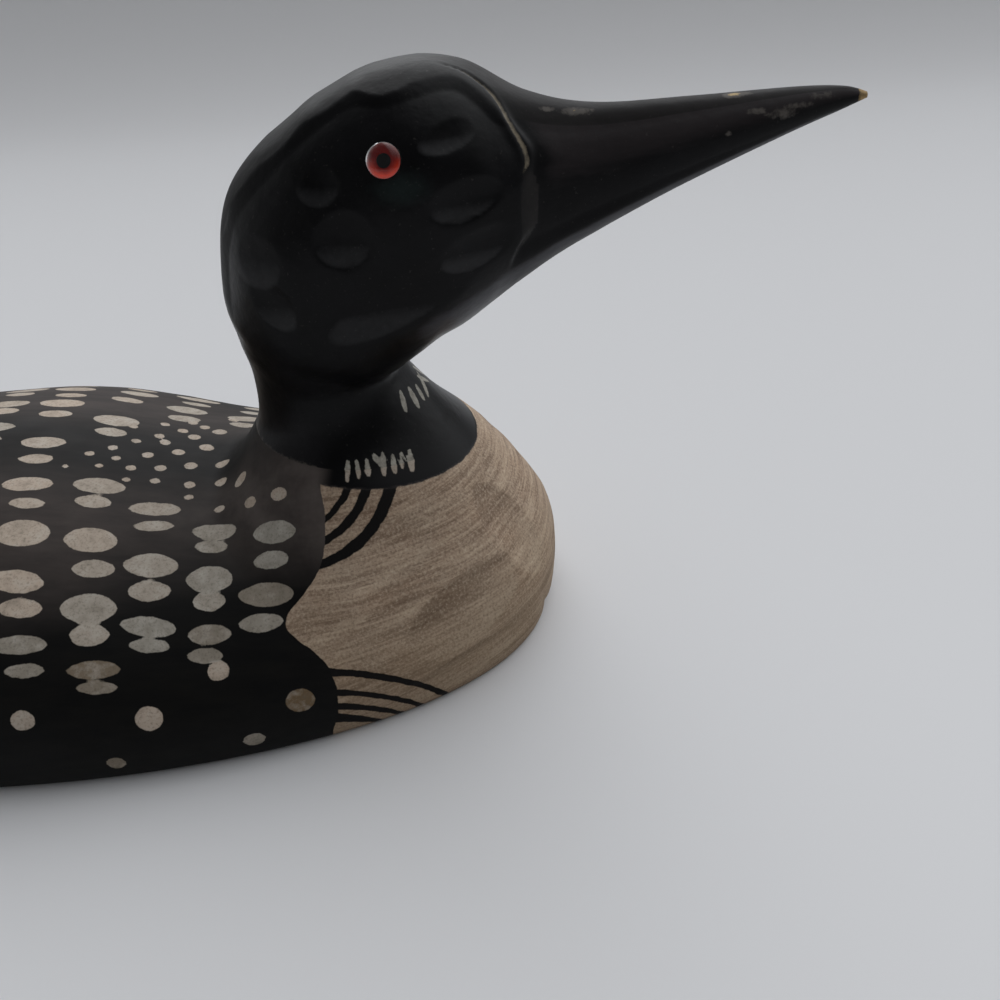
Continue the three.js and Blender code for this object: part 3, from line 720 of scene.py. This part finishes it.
body_paint, tree, shader = new_material("brushed_oil_paint")
place = add(tree, "TexCoord", out="Object")
x, y, z = add(tree, "SeparateXYZ", [place]).node.outputs
layers = {name: brushwork(tree, place, *kind) for name, *kind in BODY_BRUSHWORK}
layers["height"] = z
for name, rise, long, thick, detail, roughness in STREAKS:
    lean = add(tree, "VectorRotate", {"Vector": place, "Axis": (0, 1, 0), "Angle": rise})
    layers[name] = brushwork(tree, lean, (long, long, thick), detail, roughness, STREAK_DISTORTION)
for name in ("strokes", "tone", "mantle_edge", "collar", "black_collar", "gouge_light_and_shade"):
    layers[name] = add(tree, "Attribute", out="Fac", attribute_name=name)

waver = add(tree, "MapRange", [layers["waver"], 0.2, 0.8, -WAVER, WAVER])
edges = []
for name, border in (("strokes", 0), ("mantle_edge", 0), ("collar", COLLAR_BORDER)):
    depth = add(tree, "Math", [layers[name], waver])
    edges.append(add(tree, "MapRange", [depth, border - SOFT_EDGE, border + SOFT_EDGE]))
in_stroke, past_border, past_collar = edges
on_tan = add(tree, "Math", [past_border, past_collar], operation="MULTIPLY")

aside = add(tree, "Math", [y], operation="ABSOLUTE")
aside = add(tree, "Math", [aside, -1.0], operation="MULTIPLY")
right_side = add(tree, "CombineXYZ", [x, aside, z])
hoop = 0.0
for middle, bands in ((UPPER_MIDDLE, UPPER_HOOPS), (LOWER_MIDDLE, LOWER_HOOPS)):
    radius = add(tree, "VectorMath", [right_side, middle], "Value", operation="DISTANCE")
    radius = add(tree, "Math", [radius, waver])
    for arc, half, thinning in bands:
        off = add(tree, "Math", [radius, arc], operation="SUBTRACT")
        off = add(tree, "Math", [off], operation="ABSOLUTE")
        off = add(tree, "Math", [x, thinning, off], operation="MULTIPLY_ADD")
        width = half + HOOP_BORDER * thinning
        band = add(tree, "MapRange", [off, width + SOFT_EDGE, width - SOFT_EDGE])
        hoop = add(tree, "Math", [hoop, band], operation="MAXIMUM")

tan, cream = "#9d8671", "#b3a393"
for name, *span, colour in TAN_COATS:
    tan = lay_coat(tree, tan, colour, layers[name], *span)
for name, *span, colour in CREAM_COATS:
    cream = lay_coat(tree, cream, colour, layers[name], *span)
tan = lay_coat(tree, tan, "#0f0d0c", hoop)

# Black: nearly black on the flank and along the ridge; lighter and browner up the back's sides and paler
# toward the neck, partly real rubbing and dust and partly a painted sheen of the light from above.
upper = add(tree, "MapRange", [z, 0.034, 0.045])
handled_and_lit = add(tree, "MapRange", [aside, -0.007, -0.022])
flank, ridge, worn_and_sheen = (
    lay_coat(tree, dark, light, layers["brush"], 0.35, 0.7)
    for dark, light in (("#060606", "#0e0d0b"), ("#0e0c0b", "#191614"), ("#2b2624", "#3b3431"))
)
mantle = lay_coat(tree, flank, lay_coat(tree, ridge, worn_and_sheen, handled_and_lit), upper)
# Paler toward the neck: partly dust, partly painted light
dust_and_sheen = add(tree, "MapRange", [layers["patch"], 0.42, 0.66, 0.3, 0.9])
near_neck = add(tree, "MapRange", [layers["collar"], 0.03, 0.002, 0.25, 1])
for share in (near_neck, upper, handled_and_lit):
    dust_and_sheen = add(tree, "Math", [dust_and_sheen, share], operation="MULTIPLY")
mantle = lay_coat(tree, mantle, "#5a534f", dust_and_sheen)
_, enamel, satin = black_enamel(tree, place)
mantle = lay_coat(tree, mantle, enamel, layers["black_collar"])

colour = lay_coat(tree, lay_coat(tree, mantle, tan, on_tan), cream, in_stroke)
rough = add(tree, "MapRange", [layers["patch"], 0, 1, 0.48, 0.68])
rough = add(tree, "Math", [on_tan, 0.1, rough], operation="MULTIPLY_ADD")
rough = add(tree, "Mix", {0: layers["black_collar"], 2: rough, 3: satin})
relief = add(tree, "Math", [layers["streak"], layers["speck"]])
relief = add(tree, "Math", [relief, on_tan], operation="MULTIPLY")
relief = add(tree, "Math", [layers["brush"], 0.3, relief], operation="MULTIPLY_ADD")
bump = add(tree, "Bump", {"Height": relief, "Strength": 0.25, "Distance": 0.0004})
looks = {"Base Color": colour, "Roughness": rough, "Specular IOR Level": PAINT_SHEEN, "Normal": bump}
wire(tree, shader, looks)

marks = knife_marks()
body = mesh_piece("painted_body", [main_shell, band_shell], measures)
cut_marks(body, marks, body_paint, {"Facet Size": 0.011, "Cut Depth": 0.0002, "Seed": 3.0}, STUMP_ANGLE)
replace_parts(body, "body")
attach(body, "root")

# Head: neck, head and bill carved from one block, glued and filled onto the body's sloped joint, then
# painted satin black. Broad gouge cuts show on both cheeks, and a knife line parts the face from the
# bill. The bill's top, edges and tip are rubbed and chipped; cream brush strokes make a necklace.

# Reach and rise of the middle, length, width, upward tilt, share of a full cut
HEAD_GOUGES = [
    (0.411, 0.873, 0.31, 0.15, 15, 1),
    (0.425, 0.725, 0.33, 0.17, 12, 1),
    (0.432, 0.603, 0.35, 0.18, 20, 1),
    (0.217, 0.795, 0.24, 0.22, 15, 0.8),
    (0.246, 0.664, 0.28, 0.25, 20, 0.9),
    (0.098, 0.63, 0.3, 0.36, 35, 1),
    (0.121, 0.51, 0.2, 0.32, 30, 1),
    (0.321, 0.965, 0.24, 0.1, 10, 0.35),
    (0.237, 0.925, 0.24, 0.12, 20, 0.35),
    (0.154, 0.855, 0.24, 0.12, 35, 0.3),
    (0.312, 0.49, 0.8, 0.25, 25, 0.8),
]
# The knife line between face and bill: turn from the crown in degrees, ring station
FACE_LINE = [
    (0, 7.7), (6, 7.75), (11, 8.14), (20, 8.53), (35, 8.77), (62, 9.07), (70, 8.98), (84, 8.93),
    (104, 8.95), (118, 8.74), (150, 8.2), (180, 8),
]
LINE_WIDTH = 0.0009
LINE_DEPTH = 0.0006
# The bevel past the line: turn from the crown in degrees, width
BEVEL_WIDTH = [
    (0, 0.0012), (30, 0.0016), (50, 0.0024), (62, 0.0014), (72, 0.0032), (84, 0.0044), (98, 0.0042),
    (112, 0.0024), (122, 0.0012), (180, 0.0012),
]
BILL_STEP = 0.0011
# The lower edge of the crown's flat: ring station, turn from the crown in degrees
CROWN_EDGE = [
    (3.4, 34), (4.6, 25), (5.1, 26), (5.5, 25), (5.9, 22), (6.3, 20), (6.6, 19), (7.05, 27), (7.5, 24),
    (8, 18), (8.3, 23), (8.6, 32),
]
CHEEK_CUT = 0.0009
CHEEK_RUN = 0.0036
DEGREE_ROUND = 0.00041
RING_STEP = 0.012
HEAD_ROWS = 320
HEAD_ROUND = 264
NECKLACE_END = 2.6
SEAM_RISE = 0.0004

fine = np.linspace(0, len(HEAD_RINGS) - 1, 400)
outer = head_point(fine, 0 * fine)
walked = np.r_[0, np.cumsum(np.linalg.norm(np.diff(outer, axis=0), axis=1))]
rows = np.interp(np.linspace(0, walked[-1], HEAD_ROWS + 1), walked, fine)[:, None]
turns = np.linspace(0, 2 * math.pi, HEAD_ROUND, endpoint=False)
cut_at = joint_station(turns, 0.0)
station = cut_at + rows * (1 - cut_at / rows[-1])
turn = turns + 0 * station
head_grid = head_point(station, turn)

x, y, z = np.moveaxis(head_grid, -1, 0)
depth, gouge_highlight = 0 * x, 0 * x
for u, v, length, width, tilt, share in HEAD_GOUGES:
    along, across = x - (NECK_BACK_X + u * HEAD_REACH), z - (FOOT_HEIGHT + v * HEAD_RISE)
    length, width = length * HEAD_WIDTH, width * HEAD_WIDTH
    cut = scoop(along, across, length, width, tilt)
    depth = np.maximum(depth, share * GOUGE_DEPTH * cut)
    # Where a cut's lower half faces up it gets a painted highlight
    gouge_highlight = np.maximum(gouge_highlight, share * smooth(0, 0.4, cut) * smooth(0.15, -0.35, across / width))
from_crown = np.degrees(np.minimum(turn, 2 * math.pi - turn))
past_line = (station - follow(FACE_LINE, from_crown)) * RING_STEP
on_cheek = smooth(12, 40, from_crown) * smooth(128, 112, from_crown)
line = np.maximum(0, 1 - abs(past_line) / LINE_WIDTH)
line = line * smooth(3, 16, from_crown) * smooth(74, 62, from_crown)
bevel = np.clip(past_line / follow(BEVEL_WIDTH, from_crown), 0, 1)
step = bevel * (1 - smooth(9.8, 12.5, station)) * on_cheek
past_edge = (from_crown - follow(CROWN_EDGE, station)) * DEGREE_ROUND
slope = np.clip(past_edge / CHEEK_RUN, 0, 1) * (1 - smooth(CHEEK_RUN, 6 * CHEEK_RUN, past_edge))
slope = slope * smooth(3.4, 4.4, station) * smooth(0.0005, -0.003, past_line)
depth = np.maximum(depth, CHEEK_CUT * slope) + LINE_DEPTH * line + BILL_STEP * step
head_grid = head_grid - outward_normals(head_grid) * depth[..., None]

# Wear: places where the paint is chipped or rubbed (mm), how far it spreads and how bare it is
WEAR = [
    ((159, -0.9, 127), (2.9, 1.2, 1), 1), ((163, -4.8, 124.5), (2.5, 1.2, 0.8), 0.7),
    ((168.5, -4.7, 123.6), (4.2, 1.4, 1.2), 0.64), ((171.5, -4.1, 124.8), (4, 1.4, 0.8), 0.64),
    ((176, -2.5, 126), (5, 2, 1), 0.5), ((121.5, -4.5, 127.8), (2.5, 1, 0.7), 0.7),
    ((127.5, -3.8, 126.8), (4, 1.4, 1), 0.8), ((157.5, -6.8, 120.9), (1, 1, 0.7), 0.7),
    ((167, 4.2, 124.5), (4, 1.4, 1.2), 0.7), ((150, 1.5, 127), (2.5, 1.2, 0.8), 0.6),
]
# A greenish-grey smear under the eye
SMEAR_PLACE = (0.0925, -0.0225, 0.1195)
SMEAR_SPREAD = (0.0065, 0.004, 0.004)
wear = 0 * x
for middle, spread, bareness in WEAR:
    off = (head_grid - np.array(middle) / 1000) / (np.array(spread) / 1000)
    wear = np.maximum(wear, bareness * np.exp(-0.7 * (off**2).sum(-1)))
smear = np.exp(-(((head_grid - SMEAR_PLACE) / SMEAR_SPREAD) ** 2).sum(-1))
over_joint, bearing = z - joint_height(x), bearing_from_bill(head_grid)
seam = smooth(0.0012, 0.0003, abs(over_joint - SEAM_RISE)) * smooth(98, 112, bearing)

head_tip = (head_grid[-1, 0] + head_grid[-1, HEAD_ROUND // 2]) / 2
head_root = (NECK_X, 0, joint_height(NECK_X))
# On each place of the head, and on the bill's very tip
head_values = {
    "strokes": (np.where(station < NECKLACE_END, necklace(head_grid), OUTSIDE), OUTSIDE),
    "past_line": (past_line, 0.05),
    "line": (line, 0),
    # The bevel past the knife line is painted lighter: painted light on the facet
    "bevel": (np.where(bevel < 1, bevel**0.2, 0) * on_cheek * smooth(60, 72, from_crown), 0),
    "top": (smooth(0.001, 0.008, past_line) * smooth(98, 50, from_crown), 0),
    # A painted reflection of the floor: a grey strip along the jaw's lower edge
    "keel_reflection": (smooth(122, 134, from_crown) * smooth(5, 6.5, station) * smooth(13.6, 12.5, station), 0),
    "foot": (smooth(0.014, 0.001, over_joint) * smooth(90, 120, bearing), 0),
    "gouge_highlight": (gouge_highlight * smooth(20, 45, from_crown), 0),
    "smear": (smear, 0),
    "crown": (smooth(0.0004, -0.0004, past_edge) * smooth(3.4, 4.4, station), 0),
    "wear": (wear, 0),
    "tip": (smooth(0.1822, 0.1842, x), 1),
    "seam": (seam, 0),
    "carved": (smooth(1.0, 3.0, station) * (1 - smooth(9.5, 11.5, station)) * smooth(4, 30, from_crown), 0),
}
head_measures = {name: np.r_[values.ravel(), 0, last] for name, (values, last) in head_values.items()}

# Head paint: black enamel brushed over the cuts, satin on the cheeks, so it shows soft lights in the
# gouges; rubbed duller and browner on the crown and the bill, and down to the wood at the bill's tip.
# Over that, painted highlights on the lower halves of the gouges and on the bevel past the knife line,
# and a painted reflection of the floor as a grey strip along the jaw's lower edge.
HEAD_BRUSHWORK = (
    ("speck", 0.0008, 2, 0.6), ("crumb", 0.0016, 4, 0.7), ("brush", (0.018, 0.0022, 0.0022), 4, 0.65),
)
# Each coat: where it lies, the pattern that breaks it up and how strongly, where it starts and ends, how
# much of it shows, its colour
HEAD_COATS = (
    ("foot", "cloud", 0.8, 0.6, 1.4, 0.9, "#19181a"),
    ("top", "brush", 0.7, 0.6, 1.3, 0.9, "#282425"),
    # painted reflection of the floor along the jaw's lower edge
    ("keel_reflection", "brush", 0.8, 0.8, 1.4, 0.8, "#3a3a3e"),
    ("crown", "brush", 0.8, 0.9, 1.5, 0.8, "#100f0e"),
    ("bevel", "crumb", 0.8, 0.7, 1.5, 0.9, "#232120"),
    ("gouge_highlight", "crumb", 0.5, 0.6, 1.35, 0.85, "#2e2e2f"),
    ("smear", "crumb", 0.6, 0.6, 1.3, 0.7, "#1c2524"),
    ("line", "crumb", 0.9, 0.8, 1.35, 0.9, "#766d5d"),
    ("seam", "crumb", 1, 1.3, 1.55, 0.7, "#55504a"),
    ("all over", "speck", 1, 0.66, 0.8, 0.12, "#6d6a64"),
    ("wear", "crumb", 0.9, 0.84, 1.1, 1, "#504c48"),
    ("wear", "crumb", 0.8, 1.22, 1.3, 1, "#a8926a"),
    ("tip", "crumb", 0.8, 1.2, 1.45, 1, "#9d845c"),
)
HEAD_WAVER = 0.0002
RUBBED_DULLER = 0.14

head_paint, tree, shader = new_material("satin_black_enamel")
place = add(tree, "TexCoord", out="Object")
cloud, black, rough = black_enamel(tree, place)
layers = {name: brushwork(tree, place, *kind) for name, *kind in HEAD_BRUSHWORK}
layers["cloud"] = cloud
shares = {"all over": 0.0}
for name in head_values:
    shares[name] = add(tree, "Attribute", out="Fac", attribute_name=name)
for lies, name, strength, *span, colour in HEAD_COATS:
    broken = add(tree, "Math", [layers[name], strength, shares[lies]], operation="MULTIPLY_ADD")
    black = lay_coat(tree, black, colour, broken, *span)
cream = lay_coat(tree, "#77736a", "#a9a59a", layers["crumb"], 0.3, 0.7)
waver = add(tree, "MapRange", [layers["speck"], 0, 1, -HEAD_WAVER, HEAD_WAVER])
depth = add(tree, "Math", [shares["strokes"], waver])
black = lay_coat(tree, black, cream, depth, -SOFT_EDGE, SOFT_EDGE)
on_bill = add(tree, "MapRange", [shares["past_line"], 0, 0.006])
for share in (on_bill, shares["crown"]):
    rough = add(tree, "Math", [share, RUBBED_DULLER, rough], operation="MULTIPLY_ADD")
thick = add(tree, "Bump", {"Height": brushwork(tree, place, 0.004, 3), "Strength": 0.3, "Distance": 0.0006})
looks = {"Base Color": black, "Roughness": rough, "Specular IOR Level": PAINT_SHEEN, "Normal": thick}
wire(tree, shader, looks)

head = mesh_piece("painted_head", [skin(head_grid, head_root, head_tip)], head_measures)
cut_marks(head, marks, head_paint, {"Facet Size": 0.010, "Cut Depth": 0.00025, "Seed": 11.0}, EDGE_ANGLE)

# Eye sockets: blind round holes drilled square to the surface on both sides of the head, a tenth of a
# millimetre wider than the glass stubs that are pressed into them.

EYE_RADIUS = 0.0034
EYE_DOME = 0.0010
EYE_STUB = 0.0024
EYE_PROUD = 0.00005
EYE_CLEARANCE = 0.0001
EYE_STATION = 6.877
EYE_TURN = 1.0554
EYE_ROUND = 48
BORE_TOP = 0.004


def turned(profile):
    """A closed surface turned about Z from a profile of (radius, height), bottom middle to top middle."""
    a = np.linspace(0, 2 * math.pi, EYE_ROUND, endpoint=False)
    rings = np.array([[(r * math.cos(t), r * math.sin(t), h) for t in -a] for r, h in profile[1:-1]])
    return skin(rings, (0, 0, profile[0][1]), (0, 0, profile[-1][1]))


def onto_eye(shell, side):
    """Stands a turned surface on the head where the right (-1) or left (1) eye is."""
    ahead, round_it = np.array([0, 0.01, 0]), np.array([0, 0, 0.01])
    here = head_point(EYE_STATION + ahead, EYE_TURN + round_it)
    normal = np.cross(here[1] - here[0], here[2] - here[0])
    normal = normal * -np.sign(normal[1]) * (1, -side, 1)
    turn = Vector((0, 0, 1)).rotation_difference(Vector(normal)).to_matrix()
    return shell[0] @ np.array(turn).T + here[0] * (1, -side, 1), shell[1], shell[2]


wide, deep = EYE_RADIUS + EYE_CLEARANCE, EYE_STUB + EYE_CLEARANCE
bore = [(0, -deep), (wide, -deep), (wide, BORE_TOP), (0, BORE_TOP)]
for side in (-1, 1):
    drill = mesh_piece("drill", [onto_eye(turned(bore), side)], {})
    modifier = head.modifiers.new("socket", "BOOLEAN")
    modifier.operation, modifier.object, modifier.solver = "DIFFERENCE", drill, "EXACT"
    keep_result(head, EDGE_ANGLE)
    bpy.data.objects.remove(drill)
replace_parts(head, "head")
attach(head, "root")

# Eyes: taxidermist's glass eyes, a clear dome on a short stub, pressed into the sockets. The stub's face
# and sides are enamelled red with a black pupil; that enamel is made here as pieces sealed in the glass.

IRIS_SHARE = 0.99
IRIS_DEPTH = 0.002
IRIS_FACE = 0.00005
PUPIL_RADIUS = 0.0015
PUPIL_RISE = 0.0001
STUB_END_SHARE = 0.6
DOME_STEPS = 16
IRIS_STEPS = 9

# Clear glass, fire-polished: it bends what is enamelled under it and mirrors the tent
eye_glass, tree, shader = new_material("clear_polished_glass")
wire(tree, shader, {"Base Color": (1, 1, 1, 1), "Transmission Weight": 1.0, "IOR": 1.47, "Roughness": 0.0})

# Red enamel: deep red round the pupil and brighter toward the rim and below, where the dome gathers light
iris_paint, tree, shader = new_material("red_iris_enamel")
place = add(tree, "TexCoord", out="Object")
from_middle = add(tree, "Attribute", out="Fac", attribute_name="from_middle")
rise = add(tree, "Attribute", out="Fac", attribute_name="rise")
streaks = brushwork(tree, place, 0.0008, 3)
ring = add(tree, "Math", [streaks, 0.25, from_middle], operation="MULTIPLY_ADD")
below = add(tree, "MapRange", [rise, 0.25, -0.75])
lit = add(tree, "MapRange", [ring, 0.55, 1.0])
lit = add(tree, "Math", [lit, below], operation="MULTIPLY")
red = lay_coat(tree, lay_coat(tree, "#620502", "#f23c16", lit), "#a05a52", ring, 0.98, 1.1, 0.4)
wire(tree, shader, {"Base Color": red, "Roughness": 0.6, "Specular IOR Level": 0.0})

# Black enamel fired on as a round spot: dead black, with no sheen behind the glass
pupil_paint, tree, shader = new_material("black_pupil_enamel")
wire(tree, shader, {"Base Color": linear("#020202"), "Roughness": 0.6, "Specular IOR Level": 0.0})


def eye_piece(name, profile, side, material):
    """A turned piece in one eye, with each place's distance from the axis and height in eye radii."""
    shell = turned(profile)
    placed = onto_eye(shell, side)
    from_middle = np.hypot(shell[0][:, 0], shell[0][:, 1]) / EYE_RADIUS
    rise = (placed[0][:, 2] - placed[0][:, 2].mean()) / EYE_RADIUS
    piece = mesh_piece(name, [placed], {"from_middle": from_middle, "rise": rise})
    piece.data.materials.append(material)
    piece.data.set_sharp_from_angle(angle=EDGE_ANGLE)
    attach(piece, "root")
    return piece


ball = (EYE_RADIUS**2 + EYE_DOME**2) / (2 * EYE_DOME)
slopes = np.linspace(math.asin(EYE_RADIUS / ball), 0, DOME_STEPS)
stub = ((0, 1), (STUB_END_SHARE, 1), (1, 1), (1, 0.5))
glass = [(EYE_RADIUS * out, -EYE_STUB * deep) for out, deep in stub]
glass = glass + [(ball * math.sin(a), EYE_PROUD + EYE_DOME - ball * (1 - math.cos(a))) for a in slopes]
face_radii = np.linspace(IRIS_SHARE, 0, IRIS_STEPS) * EYE_RADIUS
iris = [(0, -IRIS_DEPTH), (face_radii[0], -IRIS_DEPTH)] + [(r, IRIS_FACE) for r in face_radii]
wide, high = PUPIL_RADIUS, IRIS_FACE + PUPIL_RISE
pupil = [(0, 0), (wide, 0), (wide, high), (0, high)]
for side, word in ((-1, "right"), (1, "left")):
    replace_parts(eye_piece(f"glass_eye_{word}", glass, side, eye_glass), f"eye_{word}")
    eye_piece(f"iris_{word}", iris, side, iris_paint)
    eye_piece(f"pupil_{word}", pupil, side, pupil_paint)

# Floor: a plain pale sweep of matt paper, flat under the decoy and curving up behind it, and far wider
# than the decoy, so that its sides stay outside the picture.

FLOOR_HALF = 3.0
FLOOR_FRONT = -3.0
FLOOR_DROP = 0.0001
WALL_START = 0.44
WALL_RADIUS = 0.25
WALL_TOP = 0.26

line = [(FLOOR_FRONT, 0), (WALL_START - 0.02, 0)]
for a in np.linspace(0, math.pi / 2, 24):
    line.append((WALL_START + WALL_RADIUS * math.sin(a), WALL_RADIUS * (1 - math.cos(a))))
line.append((WALL_START + WALL_RADIUS, WALL_TOP))
points = [(sign * FLOOR_HALF, y, z - FLOOR_DROP) for y, z in line for sign in (-1, 1)]
strips = [(2 * i, 2 * i + 1, 2 * i + 3, 2 * i + 2) for i in range(len(line) - 1)]
sweep = mesh_piece("paper_sweep", [(points, strips, np.zeros(8 * len(strips)))], {})
paper, tree, shader = new_material("matt_grey_paper")
wire(tree, shader, {"Base Color": linear("#d3d3d4"), "Roughness": 0.85, "Specular IOR Level": 0.2})
sweep.data.materials.append(paper)

# Light: a soft white tent lit from behind the decoy, bright over its far side and dim at its open front.

BRIGHT_SIDE = (0.82, 0.57, 0)
BRIGHT_BACK = (0, 0.9, 0.7)
BRIGHT_GLOW = 2.3
BRIGHT_POWER = 1.4
HORIZON_GLOW = 0.4
LEAST_GLOW = 0.16

world = bpy.data.worlds.new("soft_tent")
scene.world = world
world.use_nodes = True
tree = world.node_tree
toward = add(tree, "TexCoord", out="Generated")
side, back = (
    add(tree, "VectorMath", [toward, bright], "Value", operation="DOT_PRODUCT")
    for bright in (BRIGHT_SIDE, BRIGHT_BACK)
)
side = add(tree, "MapRange", [side, -0.14, 0.08], interpolation_type="SMOOTHSTEP")
back = add(tree, "MapRange", [back, -0.4, 1.1])
back = add(tree, "Math", [back, BRIGHT_POWER], operation="POWER")
glow = add(tree, "Math", [side, back], operation="MULTIPLY")
_, y, z = add(tree, "SeparateXYZ", [toward]).node.outputs
horizon = add(tree, "MapRange", [z, 0.65, 0.25, 0, HORIZON_GLOW])
opening = add(tree, "MapRange", [y, -0.92, -0.25])
horizon = add(tree, "Math", [horizon, opening], operation="MULTIPLY")
dim = add(tree, "Math", [1.0, side], operation="SUBTRACT")
dim = add(tree, "Math", [dim, horizon, LEAST_GLOW], operation="MULTIPLY_ADD")
glow = add(tree, "Math", [glow, BRIGHT_GLOW, dim], operation="MULTIPLY_ADD")
wire(tree, tree.nodes["Background"], {"Color": linear("#fafcff"), "Strength": glow})

# Camera: a hand-held view from the decoy's right, above the bill's side.

CAMERA_PLACE = (0.12522, -0.22237, 0.18706)
CAMERA_YAW = math.radians(-5.573)
CAMERA_PITCH = math.radians(35.402)
CAMERA_ROLL = math.radians(5.599)
FOCAL_LENGTH = 37.8

lens = bpy.data.cameras.new("camera")
lens.sensor_width = 36
lens.lens = FOCAL_LENGTH
camera = bpy.data.objects.new("camera", lens)
camera.matrix_world = Matrix.Translation(CAMERA_PLACE)
for angle, axis in ((-CAMERA_YAW, "Z"), (math.pi / 2 - CAMERA_PITCH, "X"), (-CAMERA_ROLL, "Z")):
    camera.matrix_world = camera.matrix_world @ Matrix.Rotation(angle, 4, axis)
scene.collection.objects.link(camera)
scene.camera = camera
scene.view_settings.view_transform = "Standard"
